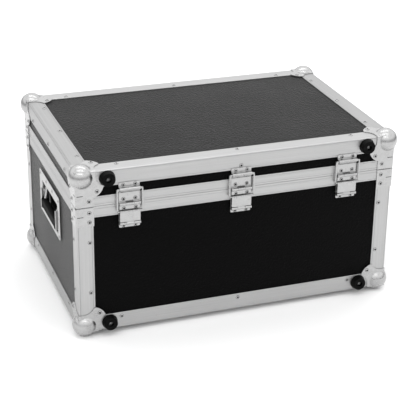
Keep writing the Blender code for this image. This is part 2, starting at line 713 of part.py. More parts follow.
def latch_tray(name, x, low, high, closed_end, holder):
    """A shallow dish with a flange, open at the end that faces the parting line."""
    half = LATCH_HALF_WIDTH
    wall = DISH_SHEET
    outer = PLATE_PROUD
    flange_low = low - (LATCH_FLANGE if closed_end < 0 else 0)
    flange_high = high + (LATCH_FLANGE if closed_end > 0 else 0)
    tray = add_piece(name, face_box(x - half - LATCH_FLANGE, x + half + LATCH_FLANGE, flange_low,
                                    flange_high, -outer, -GAP), "zinc_steel", holder)
    join(tray, face_box(x - half, x + half, low, high, -outer / 2, LATCH_FLOOR_INSET))
    inner_low = low + wall if closed_end < 0 else low - FLANGE
    inner_high = high - wall if closed_end > 0 else high + FLANGE
    cut(tray, face_box(x - half + wall, x + half - wall, inner_low, inner_high, -outer * 2,
                       LATCH_FLOOR_INSET - wall))
    return tray


def build_latch(name, x):
    """A butterfly latch: dish, turning cam with a folding wing, hook, and the lid's keeper."""
    floor = LATCH_FLOOR_INSET - DISH_SHEET
    base_high = PARTING_Z - LATCH_PARTING_GAP
    lid_low = PARTING_Z + LATCH_PARTING_GAP
    dish = latch_tray(f"latch_dish_{name}", x, LATCH_BOTTOM_Z, base_high, -1, SHELL)
    add_hook_ears(dish, x, floor)
    keeper = latch_tray(f"latch_keeper_{name}", x, lid_low, LATCH_TOP_Z, 1, LID)
    join(keeper, face_box(x - CATCH_HALF_WIDTH, x + CATCH_HALF_WIDTH, CATCH_TOP_Z - CATCH_HEIGHT,
                          CATCH_TOP_Z, HOOK_PIVOT_INSET + HOOK_SHEET / 2 + GAP,
                          LATCH_FLOOR_INSET - DISH_SHEET / 2))
    slot = HOOK_HALF_WIDTH + SLOT_MARGIN
    cut(keeper, face_box(x - slot, x + slot, CATCH_TOP_Z, HOOK_TOP_Z + SLOT_MARGIN,
                         floor - SLOT_MARGIN, LATCH_FLOOR_INSET + SLOT_MARGIN))
    turn = new_pivot(f"latch_turn_pivot_{name}", (x, DEPTH / 2, CAM_Z), SHELL)
    build_cam(name, x, floor, turn)
    build_wing(name, x, turn)
    build_hook(name, x)


def add_hook_ears(dish, x, floor):
    """Two bored ears on the dish floor that carry the hook."""
    rise = HOOK_EAR_RISE
    inner = HOOK_HALF_WIDTH + HOOK_EAR_GAP
    pin_y = DEPTH / 2 - HOOK_PIVOT_INSET
    for end in (-1, 1):
        xs = sorted((x + end * inner, x + end * (inner + HOOK_EAR_WIDTH)))
        join(dish, face_box(xs[0], xs[1], HOOK_PIVOT_Z - rise, HOOK_PIVOT_Z + rise,
                            HOOK_PIVOT_INSET - rise, floor + DISH_SHEET / 2))
        over = HOOK_EAR_GAP
        cut(dish, rod((xs[0] - over, pin_y, HOOK_PIVOT_Z), (xs[1] + over, pin_y, HOOK_PIVOT_Z),
                      PIN_RADIUS))


def build_cam(name, x, floor, turn):
    """The turning disc, with the lug that the wing folds on."""
    wall = DEPTH / 2
    back = floor - GAP
    disc = add_piece(f"latch_cam_{name}",
                     rod((x, wall - back, CAM_Z), (x, wall - back + CAM_SHEET, CAM_Z), CAM_RADIUS),
                     "zinc_steel", turn)
    fold_z = CAM_Z + WING_FOLD_RISE
    lug = CAM_LUG_HALF
    wing_middle = WING_INSET + WING_SHEET / 2
    join(disc, face_box(x - lug, x + lug, fold_z - WING_SHEET, fold_z + WING_SHEET,
                        wing_middle - WING_SHEET, back - CAM_SHEET / 2))
    cut(disc, rod((x - 2 * lug, wall - wing_middle, fold_z), (x + 2 * lug, wall - wing_middle, fold_z),
                  PIN_RADIUS - GAP))


def build_wing(name, x, turn):
    """The folding wing of the latch: a rounded flap with two ears beside the cam's lug."""
    middle = DEPTH / 2 - WING_INSET - WING_SHEET / 2
    fold_z = CAM_Z + WING_FOLD_RISE
    pivot = new_pivot(f"latch_wing_pivot_{name}", (x, middle, fold_z), turn)
    low = fold_z - WING_REACH
    front = middle + WING_SHEET / 2
    outline = rounded_rectangle((x - WING_HALF_WIDTH, low), (x + WING_HALF_WIDTH, fold_z + WING_SHEET),
                                WING_ROUND)
    wing = add_piece(f"latch_wing_{name}",
                     prism([(px, front, pz) for px, pz in outline], (0, -WING_SHEET, 0)),
                     "zinc_steel", pivot)
    notch = WING_NOTCH_HALF
    over = 0.001
    cut(wing, box((x - notch, middle - WING_SHEET, fold_z - WING_SHEET - over),
                  (x + notch, front + over, fold_z + WING_SHEET + over)))
    join(wing, rod((x - notch - over, middle, fold_z), (x + notch + over, middle, fold_z),
                   PIN_RADIUS - 2 * GAP))


def build_hook(name, x):
    """The hook, tilted out of the keeper as it is when the latch is open."""
    pin_y = DEPTH / 2 - HOOK_PIVOT_INSET
    pivot = new_pivot(f"latch_hook_pivot_{name}", (x, pin_y, HOOK_PIVOT_Z), SHELL)
    half = HOOK_HALF_WIDTH
    outer = HOOK_SHEET / 2
    top = HOOK_TOP_Z - HOOK_PIVOT_Z
    section = [(-outer, 0), (outer, 0), (outer, top), (-outer - HOOK_NOSE, top),
               (-outer - HOOK_NOSE, top - HOOK_SHEET), (-outer, top - HOOK_SHEET)]
    turn = Matrix.Rotation(-HOOK_OPEN_ANGLE, 4, "X")
    place = Matrix.Translation((x, pin_y, HOOK_PIVOT_Z)) @ turn
    points = [place @ Vector((-half, y, z)) for y, z in section]
    hook = add_piece(f"latch_hook_{name}", prism(points, (2 * half, 0, 0)), "zinc_steel", pivot)
    pin_half = half + HOOK_EAR_GAP + HOOK_EAR_WIDTH
    join(hook, rod((x - pin_half, pin_y, HOOK_PIVOT_Z), (x + pin_half, pin_y, HOOK_PIVOT_Z),
                   PIN_RADIUS - GAP))


# Assembly ---------------------------------------------------------------------------------
CORNERS = (("hinge_left", -1, -1), ("hinge_right", 1, -1), ("latch_left", -1, 1),
           ("latch_right", 1, 1))
PIVOT_Y = -DEPTH / 2 - PIVOT_PROUD

clear_scene()
PARTS = new_collection("equipment_case")
TOOLS = new_collection("cutters")
SHELL = bpy.data.objects.new("case_frame", None)
PARTS.objects.link(SHELL)
SHELL.location = (0, (FOOT_HEIGHT - BALL_PROUD) / 2, BALL_PROUD)
LID = new_pivot("lid_pivot", (0, PIVOT_Y, PARTING_Z), SHELL)

build_base_panels()
build_lid_panels()
build_edge_extrusions()
build_rims()
build_ball_corners()
build_corner_braces()
build_feet()
for number, hinge_x in enumerate(HINGE_XS, 1):
    build_hinge(number, hinge_x)
build_handle("left", -1)
build_handle("right", 1)
for latch_name, latch_x in zip(("left", "right"), LATCH_XS):
    build_latch(latch_name, latch_x)
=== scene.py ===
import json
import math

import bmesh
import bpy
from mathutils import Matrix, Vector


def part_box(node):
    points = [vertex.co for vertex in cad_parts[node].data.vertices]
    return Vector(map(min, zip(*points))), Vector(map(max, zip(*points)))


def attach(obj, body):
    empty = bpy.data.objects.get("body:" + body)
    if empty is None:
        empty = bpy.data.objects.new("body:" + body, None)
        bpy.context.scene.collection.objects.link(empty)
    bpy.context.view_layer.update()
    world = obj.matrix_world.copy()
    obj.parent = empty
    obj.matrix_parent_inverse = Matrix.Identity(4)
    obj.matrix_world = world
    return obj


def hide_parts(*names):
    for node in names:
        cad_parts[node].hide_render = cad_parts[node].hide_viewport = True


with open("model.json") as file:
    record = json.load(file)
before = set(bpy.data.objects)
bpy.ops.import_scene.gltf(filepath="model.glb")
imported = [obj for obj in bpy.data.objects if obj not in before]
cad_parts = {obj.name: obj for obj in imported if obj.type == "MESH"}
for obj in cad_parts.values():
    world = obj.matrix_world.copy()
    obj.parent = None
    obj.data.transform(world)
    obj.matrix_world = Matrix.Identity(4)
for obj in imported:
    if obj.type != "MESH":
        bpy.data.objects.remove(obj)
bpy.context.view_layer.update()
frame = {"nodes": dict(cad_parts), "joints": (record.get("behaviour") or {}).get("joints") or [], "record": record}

# Looks of the hard equipment case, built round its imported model.
#
# Shell coordinates have their zero in the middle of the shell's underside: X runs along the
# case, -Y is the hinge face, +Y the latch face and Z points up.  ORIGIN moves them to the row
# frame.  A depth or inset is measured inwards from an outer face of the shell, and "proud" is
# measured outwards.  All lengths are in metres.

# What the frame says ----------------------------------------------------------------------
RECORD = frame["record"]
BODY_OF = {node: body for body, nodes in RECORD["behaviour"]["bodies"].items() for node in nodes}
BOTTOM_LOW, BOTTOM_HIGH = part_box("bottom_edge_frame")
TOP_LOW, TOP_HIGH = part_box("top_edge_frame")
ORIGIN = Vector(((BOTTOM_LOW.x + BOTTOM_HIGH.x) / 2, (BOTTOM_LOW.y + BOTTOM_HIGH.y) / 2,
                 BOTTOM_LOW.z))
WIDTH = TOP_HIGH.x - TOP_LOW.x
DEPTH = TOP_HIGH.y - TOP_LOW.y
HEIGHT = TOP_HIGH.z - BOTTOM_LOW.z
FLANGE = BOTTOM_HIGH.z - BOTTOM_LOW.z


def shell_box(node):
    """Lowest and highest corner of a CAD node in shell coordinates."""
    low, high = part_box(node)
    return low - ORIGIN, high - ORIGIN


PARTING_HALF_GAP = 0.00015
LID_RIM_LOW, LID_RIM_HIGH = shell_box("lid_rim")
BASE_RIM_LOW, BASE_RIM_HIGH = shell_box("base_rim")
PARTING_Z = LID_RIM_LOW.z - PARTING_HALF_GAP
RIM_TOP_Z = LID_RIM_HIGH.z
RIM_BOTTOM_Z = BASE_RIM_LOW.z
TONGUE_TOP_Z = BASE_RIM_HIGH.z
BRACE_BOTTOM_Z = shell_box("corner_brace_hinge_left")[0].z

# Sheet work and extrusions ----------------------------------------------------------------
GAP = 0.0003
SHEET = 0.0015
ARRIS_RADIUS = 0.0020
PLY = 0.007
PANEL_INSET = SHEET + GAP
RIM_DEPTH = 0.0105
TONGUE_DEPTH = 0.0080
INNER_LEG = 0.011
LATCH_HALF_WIDTH = 0.0445
GROOVE_DEPTH = 0.0005
GROOVE_HALF = 0.0004
EDGE_ROUND = 0.0004
EDGE_BREAK = 0.0003
MITRE_GAP = 0.00008
EXTRUSION_MARKS = (0.0030, 0.0268)
RIM_MARK = 0.0028
RIM_PARTING_MARK = 0.0042
RIM_PARTING_ROUND = 0.0006
NEAR = 0.00003

# Ball corners -----------------------------------------------------------------------------
BALL_RADIUS = 0.022
BALL_INSET = 0.012
BALL_SHEET = 0.0015
PROUD = 0.0015
PLATE_ARRIS = 0.0026
PLATE_REACH = 0.0353
PLATE_STRAIGHT = 0.0085
THROAT_RADIUS = 0.020
FAN_CENTRE = 0.022
FAN_RADIUS = 0.0278
FAN_ROUND = 0.0035
LEG_WIDTH = 0.031
FILLET_RADIUS = 0.0036
LEG_SLOT_DROP = 0.043
BRACE_SLOT_Z = 0.2265
SLOT_START = 0.0010
SLOT_END = 0.0120
SLOT_HALF = 0.0006
SLOT_FLOOR = 0.00036
ARRIS_NOTCH = 0.0020
PLATE_END_GAP = 0.0006
CORNER_FAR = 0.1412
BALL_TILT = (31, 23)

SIDES = 32


# Mesh helpers -----------------------------------------------------------------------------
def arc(centre, radius, start, end, steps=8):
    """Points of an arc in a plane, with its angles in radians."""
    turns = [start + (end - start) * step / steps for step in range(steps + 1)]
    return [(centre[0] + radius * math.cos(turn), centre[1] + radius * math.sin(turn))
            for turn in turns]


def rounded_rectangle(low, high, radius, steps=5):
    """Points of a rectangle with rounded corners."""
    points = []
    for quarter in range(4):
        right = quarter in (0, 3)
        top = quarter < 2
        centre = (high[0] - radius if right else low[0] + radius,
                  high[1] - radius if top else low[1] + radius)
        start = quarter * math.pi / 2
        points += arc(centre, radius, start, start + math.pi / 2, steps)
    return points


def merged(*parts):
    """Several bmeshes as one."""
    whole = bmesh.new()
    for part in parts:
        mesh = bpy.data.meshes.new("part")
        part.to_mesh(mesh)
        part.free()
        whole.from_mesh(mesh)
        bpy.data.meshes.remove(mesh)
    return whole


def bevelled(bm, width, segments=2, sharper_than=50):
    """Round the edges that are sharper than an angle in degrees."""
    bmesh.ops.recalc_face_normals(bm, faces=bm.faces)
    limit = math.radians(sharper_than)
    edges = [edge for edge in bm.edges
             if len(edge.link_faces) == 2 and edge.calc_face_angle(0) > limit]
    bmesh.ops.bevel(bm, geom=edges, offset=width, segments=segments, profile=0.5,
                    affect="EDGES", clamp_overlap=True)
    return bm


def block(low, high, round_by=0.0, segments=3):
    """A block between two corners, with its edges rounded."""
    bm = bmesh.new()
    low = Vector(low)
    high = Vector(high)
    matrix = Matrix.Translation((low + high) / 2) @ Matrix.Diagonal((*(high - low), 1.0))
    bmesh.ops.create_cube(bm, size=1.0, matrix=matrix)
    if round_by:
        bevelled(bm, round_by, segments)
    return bm


def prism(outline, push, round_by=0.0, segments=2):
    """A flat outline of 3-D points pushed out along a vector, with its sharp edges rounded."""
    bm = bmesh.new()
    face = bm.faces.new([bm.verts.new(point) for point in outline])
    grown = bmesh.ops.extrude_face_region(bm, geom=[face])
    moved = [item for item in grown["geom"] if isinstance(item, bmesh.types.BMVert)]
    bmesh.ops.translate(bm, verts=moved, vec=push)
    if round_by:
        bevelled(bm, round_by, segments)
    return bm


def rod(start, end, radius, sides=SIDES, round_by=0.0):
    """A round bar between two points."""
    bm = bmesh.new()
    start = Vector(start)
    end = Vector(end)
    along = end - start
    turn = along.to_track_quat("Z", "Y").to_matrix().to_4x4()
    matrix = Matrix.Translation((start + end) / 2) @ turn
    bmesh.ops.create_cone(bm, cap_ends=True, segments=sides, radius1=radius, radius2=radius,
                          depth=along.length, matrix=matrix)
    if round_by:
        bevelled(bm, round_by, 2)
    return bm


def turned(profile, sides=SIDES):
    """A solid of revolution round Z from (radius, height) points."""
    bm = bmesh.new()
    verts = [bm.verts.new((radius, 0, height)) for radius, height in profile]
    edges = [bm.edges.new(pair) for pair in zip(verts, verts[1:])]
    if profile[0][0] > 0:
        edges.append(bm.edges.new((verts[-1], verts[0])))
    bmesh.ops.spin(bm, geom=edges, cent=(0, 0, 0), axis=(0, 0, 1), angle=2 * math.pi, steps=sides)
    bmesh.ops.remove_doubles(bm, verts=bm.verts, dist=0.000002)
    return bm


def bridge(bm, outer, inner):
    """Faces between two closed loops of as many vertices."""
    for index in range(len(outer)):
        bm.faces.new((outer[index - 1], outer[index], inner[index], inner[index - 1]))


def placed(bm, matrix):
    """A bmesh moved by a matrix."""
    bmesh.ops.transform(bm, matrix=matrix, verts=bm.verts)
    return bm


def ribbon(points, thickness):
    """Outline of a bent sheet's section, from its middle line in a plane."""
    left = []
    right = []
    for index, point in enumerate(points):
        before = Vector(points[max(index - 1, 0)])
        after = Vector(points[min(index + 1, len(points) - 1)])
        way = (after - before).normalized()
        side = Vector((-way.y, way.x)) * thickness / 2
        left.append(Vector(point) + side)
        right.append(Vector(point) - side)
    return left + right[::-1]


# Pieces -----------------------------------------------------------------------------------
def new_object(name, bm):
    """A linked object from a bmesh, with its faces pointing out."""
    bmesh.ops.recalc_face_normals(bm, faces=bm.faces)
    mesh = bpy.data.meshes.new(name)
    bm.to_mesh(mesh)
    bm.free()
    item = bpy.data.objects.new(name, mesh)
    bpy.context.scene.collection.objects.link(item)
    return item


def boolean(bm, tool_bm, operation):
    """The result of a Boolean operation of one bmesh with another."""
    item = new_object("work", bm)
    tool = new_object("tool", tool_bm)
    modifier = item.modifiers.new("boolean", "BOOLEAN")
    modifier.operation = operation
    modifier.solver = "EXACT"
    modifier.object = tool
    depsgraph = bpy.context.evaluated_depsgraph_get()
    result = bmesh.new()
    result.from_object(item, depsgraph)
    for done in (item, tool):
        mesh = done.data
        bpy.data.objects.remove(done)
        bpy.data.meshes.remove(mesh)
    bmesh.ops.remove_doubles(result, verts=result.verts, dist=0.000005)
    return result


def joined(bm, tool_bm):
    """One bmesh joined with another."""
    return boolean(bm, tool_bm, "UNION")


def cut(bm, tool_bm):
    """One bmesh less another."""
    return boolean(bm, tool_bm, "DIFFERENCE")


def common(bm, tool_bm):
    """What two bmeshes have in common."""
    return boolean(bm, tool_bm, "INTERSECT")


def smooth(piece, angle=32):
    """Smooth shading with sharp edges, and flat faces that keep their own normals."""
    piece.data.shade_smooth()
    piece.data.set_sharp_from_angle(angle=math.radians(angle))
    normals = piece.modifiers.new("normals", "WEIGHTED_NORMAL")
    normals.keep_sharp = True


def add_fitting(name, bm, material, node):
    """A piece in shell coordinates that goes with a CAD node but hides nothing."""
    piece = new_object(name, bm)
    piece.data.transform(Matrix.Translation(ORIGIN))
    piece.data.materials.append(material)
    smooth(piece)
    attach(piece, BODY_OF[node])
    return piece


def add_piece(name, bm, material, node):
    """A detailed piece that stands for a CAD node."""
    piece = add_fitting(name, bm, material, node)
    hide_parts(node)
    return piece


# Materials --------------------------------------------------------------------------------
class Finish:
    """A Principled material and short ways to add nodes to it."""

    def __init__(self, name, colour, roughness, metallic=0.0):
        self.material = bpy.data.materials.new(name)
        self.material.use_nodes = True
        self.nodes = self.material.node_tree.nodes
        self.links = self.material.node_tree.links
        self.shader = self.nodes["Principled BSDF"]
        self.set("Base Color", (*colour, 1.0))
        self.set("Roughness", roughness)
        self.set("Metallic", metallic)
        self.place = self.nodes.new("ShaderNodeTexCoord").outputs["Object"]

    def set(self, socket, value):
        """Give one of the shader's sockets a uniform value."""
        self.shader.inputs[socket].default_value = value

    def stretched(self, scale):
        """Coordinates scaled along each axis."""
        mapping = self.nodes.new("ShaderNodeMapping")
        mapping.inputs["Scale"].default_value = scale
        self.links.new(self.place, mapping.inputs["Vector"])
        return mapping.outputs["Vector"]

    def noise(self, scale, detail=2.0, vector=None, distortion=0.0):
        """A noise pattern from 0 to 1."""
        noise = self.nodes.new("ShaderNodeTexNoise")
        noise.inputs["Scale"].default_value = scale
        noise.inputs["Detail"].default_value = detail
        noise.inputs["Distortion"].default_value = distortion
        self.links.new(vector or self.place, noise.inputs["Vector"])
        return noise.outputs["Fac"]

    def cells(self, scale, feature="F1"):
        """A pattern of round cells."""
        cells = self.nodes.new("ShaderNodeTexVoronoi")
        cells.feature = feature
        cells.inputs["Scale"].default_value = scale
        self.links.new(self.place, cells.inputs["Vector"])
        return cells.outputs["Distance"]

    def ramp(self, value, low, high, first, second):
        """A colour or grey that goes from first to second as value goes from low to high."""
        ramp = self.nodes.new("ShaderNodeValToRGB")
        for element, position, shade in zip(ramp.color_ramp.elements, (low, high), (first, second)):
            element.position = position
            element.color = (*shade, 1.0) if isinstance(shade, tuple) else (shade, shade, shade, 1.0)
        self.links.new(value, ramp.inputs["Fac"])
        return ramp.outputs["Color"]

    def product(self, first, second):
        """Two colours or greys multiplied."""
        mix = self.nodes.new("ShaderNodeMix")
        mix.data_type = "RGBA"
        mix.blend_type = "MULTIPLY"
        mix.inputs["Factor"].default_value = 1.0
        self.links.new(first, mix.inputs["A"])
        self.links.new(second, mix.inputs["B"])
        return mix.outputs["Result"]

    def drive(self, socket, value):
        """Let a pattern drive one of the shader's sockets."""
        self.links.new(value, self.shader.inputs[socket])

    def bump(self, height, strength, distance):
        """Fine relief, on top of any relief that is there."""
        bump = self.nodes.new("ShaderNodeBump")
        bump.inputs["Strength"].default_value = strength
        bump.inputs["Distance"].default_value = distance
        self.links.new(height, bump.inputs["Height"])
        normal = self.shader.inputs["Normal"]
        if normal.is_linked:
            self.links.new(normal.links[0].from_socket, bump.inputs["Normal"])
        self.links.new(bump.outputs["Normal"], normal)


def aluminium(axis):
    """Natural anodised aluminium, drawn along one axis; the copy for the rails along y, on the end faces, is
    darker as painted shade.
    """
    # Painted shade: the end faces' rails get a lower tone than the rails on the other faces.
    tone = 0.40 if axis == "y" else 0.47
    finish = Finish(f"anodised_aluminium_{axis}", (tone,) * 3, 0.42, 1.0)
    scale = [700.0] * 3
    scale["xyz".index(axis)] = 5.0
    lines = finish.noise(1.0, 3.0, finish.stretched(scale))
    clouds = finish.noise(16.0, 3.0)
    scuffs = finish.noise(240.0, 5.0, distortion=0.6)
    shade = finish.product(finish.ramp(lines, 0.3, 0.7, tone * 0.94, tone * 1.06),
                           finish.ramp(clouds, 0.35, 0.75, 0.94, 1.0))
    finish.drive("Base Color", finish.product(shade, finish.ramp(scuffs, 0.24, 0.34, 0.82, 1.0)))
    finish.drive("Roughness", finish.ramp(clouds, 0.3, 0.7, 0.38, 0.46))
    finish.bump(lines, 0.10, 0.0002)
    return finish.material


def zinc_steel(name, roughness, tone, relief=0.05):
    """Zinc plated steel: softly glossy, with faint clouds and fine scratches."""
    finish = Finish(name, (tone, tone, tone), roughness, 1.0)
    clouds = finish.noise(90.0, 4.0, distortion=0.8)
    grains = finish.cells(900.0)
    scratches = finish.noise(1.0, 4.0, finish.stretched((260.0, 260.0, 1500.0)))
    shade = finish.product(finish.ramp(clouds, 0.3, 0.72, tone * 0.90, tone * 1.05),
                           finish.ramp(scratches, 0.28, 0.42, 0.90, 1.0))
    finish.drive("Base Color", shade)
    finish.drive("Roughness", finish.ramp(clouds, 0.3, 0.7, roughness - 0.04, roughness + 0.06))
    finish.bump(grains, relief, 0.0001)
    return finish.material


def black_laminate():
    """Black plastic laminate with a pebbled grain."""
    finish = Finish("black_laminate", (0.003, 0.003, 0.003), 0.40)
    finish.set("Specular IOR Level", 0.033)
    finish.set("Sheen Weight", 0.23)
    finish.set("Sheen Roughness", 0.35)
    pebbles = finish.cells(340.0, "SMOOTH_F1")
    grain = finish.noise(600.0, 3.0)
    clouds = finish.noise(9.0, 3.0)
    finish.drive("Base Color", finish.ramp(grain, 0.3, 0.7, (0.0003, 0.0003, 0.0003),
                                           (0.0011, 0.0011, 0.0012)))
    finish.drive("Roughness", finish.ramp(clouds, 0.3, 0.7, 0.36, 0.44))
    finish.bump(pebbles, 0.80, 0.0009)
    finish.bump(grain, 0.80, 0.0008)
    return finish.material


def plywood_edge():
    """The cut edge of birch plywood."""
    finish = Finish("plywood_edge", (0.42, 0.29, 0.17), 0.65)
    fibres = finish.noise(1.0, 4.0, finish.stretched((120.0, 120.0, 900.0)))
    finish.drive("Base Color",
                 finish.ramp(fibres, 0.3, 0.7, (0.24, 0.15, 0.08), (0.50, 0.36, 0.22)))
    finish.bump(fibres, 0.3, 0.0003)
    return finish.material


def panel_lining():
    """The plain black inner face of a panel."""
    finish = Finish("panel_lining", (0.012, 0.012, 0.013), 0.6)
    fibres = finish.noise(1.0, 4.0, finish.stretched((60.0, 420.0, 420.0)))
    finish.drive("Base Color", finish.ramp(fibres, 0.3, 0.7, (0.008, 0.008, 0.009),
                                           (0.018, 0.018, 0.019)))
    finish.bump(fibres, 0.25, 0.0003)
    return finish.material


def black_rubber(name, gloss):
    """Moulded black rubber with a fine matt texture."""
    finish = Finish(name, (0.006, 0.006, 0.006), gloss)
    finish.set("Specular IOR Level", 0.05)
    texture = finish.noise(1400.0, 2.0)
    dust = finish.noise(70.0, 4.0)
    finish.drive("Base Color", finish.ramp(dust, 0.45, 0.8, 0.002, 0.006))
    finish.drive("Roughness", finish.ramp(dust, 0.3, 0.7, gloss - 0.06, gloss + 0.08))
    finish.bump(texture, 0.25, 0.0002)
    return finish.material


ALUMINIUM = {axis: aluminium(axis) for axis in "xyz"}
CORNER_STEEL = zinc_steel("corner_steel", 0.28, 0.45, 0.02)
HINGE_STEEL = zinc_steel("hinge_steel", 0.29, 0.45, 0.02)
HANDLE_STEEL = zinc_steel("handle_steel", 0.34, 0.43)
LATCH_STEEL = zinc_steel("latch_steel", 0.30, 0.46)
RIVET_STEEL = zinc_steel("rivet_steel", 0.28, 0.50)
SCREW_STEEL = zinc_steel("screw_steel", 0.34, 0.20)
LAMINATE = black_laminate()
PLYWOOD = plywood_edge()
LINING = panel_lining()
# Flat black as painted shade: in rivet holes, round rivet heads and in the slots of the corner plates.
PAINTED_SHADE = Finish("painted_hole_shade", (0.003, 0.003, 0.003), 0.8).material
FOOT_RUBBER = black_rubber("foot_rubber", 0.38)
GRIP_RUBBER = black_rubber("grip_rubber", 0.62)
# Painted shade: black standing for the shade deep in the handle recesses.
PAINTED_RECESS_SHADE = black_rubber("painted_recess_shade", 0.55)


# Panels -----------------------------------------------------------------------------------
LAMINATE_FACE, LINING_FACE, CUT_FACE = range(3)


def side_of(face, middle):
    """Which side of its plywood a face of a panel is on."""
    halves = (WIDTH / 2, DEPTH / 2, HEIGHT / 2)
    centre = face.calc_center_median() - middle
    for axis in range(3):
        if abs(face.normal[axis]) < 0.99:
            continue
        depth = halves[axis] - abs(centre[axis])
        outward = face.normal[axis] * centre[axis] > 0
        if outward and depth < PANEL_INSET + GAP:
            return LAMINATE_FACE
        if not outward and abs(depth - PANEL_INSET - PLY) < GAP:
            return LINING_FACE
    return CUT_FACE


def build_panel(node):
    """A panel with laminate outside, a lining inside and bare plywood edges."""
    middle = ORIGIN + Vector((0, 0, HEIGHT / 2))
    bm = bmesh.new()
    bm.from_mesh(frame["nodes"][node].data)
    bmesh.ops.dissolve_limit(bm, angle_limit=math.radians(1), verts=bm.verts, edges=bm.edges)
    for face in bm.faces:
        face.material_index = side_of(face, middle)
    piece = add_piece(f"{node}_layers", placed(bm, Matrix.Translation(-ORIGIN)), LAMINATE, node)
    for material in (LINING, PLYWOOD):
        piece.data.materials.append(material)


# Extrusions -------------------------------------------------------------------------------
def groove(way, at):
    """Three points of a shallow V groove in a face that runs one way from the arris."""
    along = Vector(way)
    inward = along.yx
    middle = along * at
    return [middle - along * GROOVE_HALF, middle + inward * GROOVE_DEPTH,
            middle + along * GROOVE_HALF]


def angle_profile():
    """Section of an edge extrusion: (depth below one face, depth below the other)."""
    end = FLANGE - EDGE_ROUND
    points = [Vector((end, 0))]
    for mark in reversed(EXTRUSION_MARKS):
        points += groove((1, 0), mark)[::-1]
    corner = (ARRIS_RADIUS, ARRIS_RADIUS)
    points += [Vector(point) for point in arc(corner, ARRIS_RADIUS, -math.pi / 2, -math.pi, 6)]
    for mark in EXTRUSION_MARKS:
        points += groove((0, 1), mark)
    return points + [Vector((0, end)), Vector((EDGE_ROUND, FLANGE)), Vector((SHEET, FLANGE)),
                     Vector((SHEET, SHEET)), Vector((FLANGE, SHEET)), Vector((FLANGE, EDGE_ROUND))]


def mitred_rail(section, side):
    """A straight length along one side of the case with mitred ends.

    The section is (depth from the side's face, z) points.
    """
    bm = bmesh.new()
    ends = []
    for end in (-1, 1):
        loop = []
        for depth, z in section:
            x = WIDTH / 2 - depth
            y = DEPTH / 2 - depth
            if side in ("hinge", "latch"):
                place = (end * (x - MITRE_GAP), y if side == "latch" else -y, z)
            else:
                place = (x if side == "right" else -x, end * (y - MITRE_GAP), z)
            loop.append(bm.verts.new(place))
        ends.append(loop)
    bridge(bm, *ends)
    for loop in ends:
        bm.faces.new(loop)
    return bm


SIDE_AXES = {"hinge": "x", "latch": "x", "left": "y", "right": "y"}


def build_rails(node, name, section, trim=None):
    """The four rails of a ring, each its own piece."""
    for side, axis in SIDE_AXES.items():
        rail = mitred_rail(section, side)
        if trim and side == "latch":
            rail = trim(rail)
        add_piece(f"{name}_{side}", rail, ALUMINIUM[axis], node)


def build_edge_frames():
    """Double-angle edge extrusions round the bottom and the top."""
    inner = PANEL_INSET + PLY + GAP
    leg = inner + SHEET
    profile = angle_profile()
    hidden = [(inner, inner), (inner + INNER_LEG, inner), (inner + INNER_LEG, leg),
              (leg, leg), (leg, inner + INNER_LEG), (inner, inner + INNER_LEG)]
    for node, name, edge, way in (("bottom_edge_frame", "bottom_rail", 0, 1),
                                  ("top_edge_frame", "top_rail", HEIGHT, -1)):
        build_rails(node, name, [(p, edge + way * q) for p, q in profile])
        build_rails(node, f"{name}_inner", [(p, edge + way * q) for p, q in hidden])


def build_posts():
    """Angle extrusions up the four corners of the base."""
    profile = angle_profile()
    low = FLANGE + GAP
    high = RIM_BOTTOM_Z - GAP
    for name, sx, sy in CORNERS:
        points = [(sx * (WIDTH / 2 - p), sy * (DEPTH / 2 - q), low) for p, q in profile]
        add_piece(f"corner_extrusion_{name}", prism(points, (0, 0, high - low)), ALUMINIUM["z"],
                  f"corner_post_{name}")


def rim_face(low, high, marks, rounds):
    """The outer line of a closing profile from low to high, with grooves and rounded ends."""
    low_round, high_round = rounds
    points = [(low_round, low), (0, low + low_round)]
    for mark in marks:
        points += [(0, mark - GROOVE_HALF), (GROOVE_DEPTH, mark), (0, mark + GROOVE_HALF)]
    return points + [(0, high - high_round), (high_round, high)]


def build_rims():
    """The closing profiles: the base's has a tongue that the lid's closes over."""
    top = PARTING_Z - PARTING_HALF_GAP
    web = top - SHEET
    inner = RIM_DEPTH - SHEET
    base = rim_face(RIM_BOTTOM_Z, top, (RIM_BOTTOM_Z + RIM_MARK, top - RIM_PARTING_MARK),
                    (EDGE_ROUND, RIM_PARTING_ROUND))
    base += [(TONGUE_DEPTH, top), (TONGUE_DEPTH, TONGUE_TOP_Z - EDGE_ROUND),
             (TONGUE_DEPTH + EDGE_ROUND, TONGUE_TOP_Z), (RIM_DEPTH - EDGE_ROUND, TONGUE_TOP_Z),
             (RIM_DEPTH, TONGUE_TOP_Z - EDGE_ROUND), (RIM_DEPTH, web - INNER_LEG),
             (inner, web - INNER_LEG), (inner, web), (SHEET, web), (SHEET, RIM_BOTTOM_Z)]
    low = PARTING_Z + PARTING_HALF_GAP
    roof = TONGUE_TOP_Z + GAP
    lid = rim_face(low, RIM_TOP_Z, (low + RIM_PARTING_MARK, RIM_TOP_Z - RIM_MARK),
                   (RIM_PARTING_ROUND, EDGE_ROUND))
    lid += [(SHEET, RIM_TOP_Z), (SHEET, roof + SHEET), (inner, roof + SHEET),
            (inner, roof + INNER_LEG), (RIM_DEPTH, roof + INNER_LEG), (RIM_DEPTH, roof),
            (SHEET, roof), (SHEET, low)]
    build_rails("base_rim", "base_rim", base, open_for_latches)
    build_rails("lid_rim", "lid_rim", lid, open_for_latches)


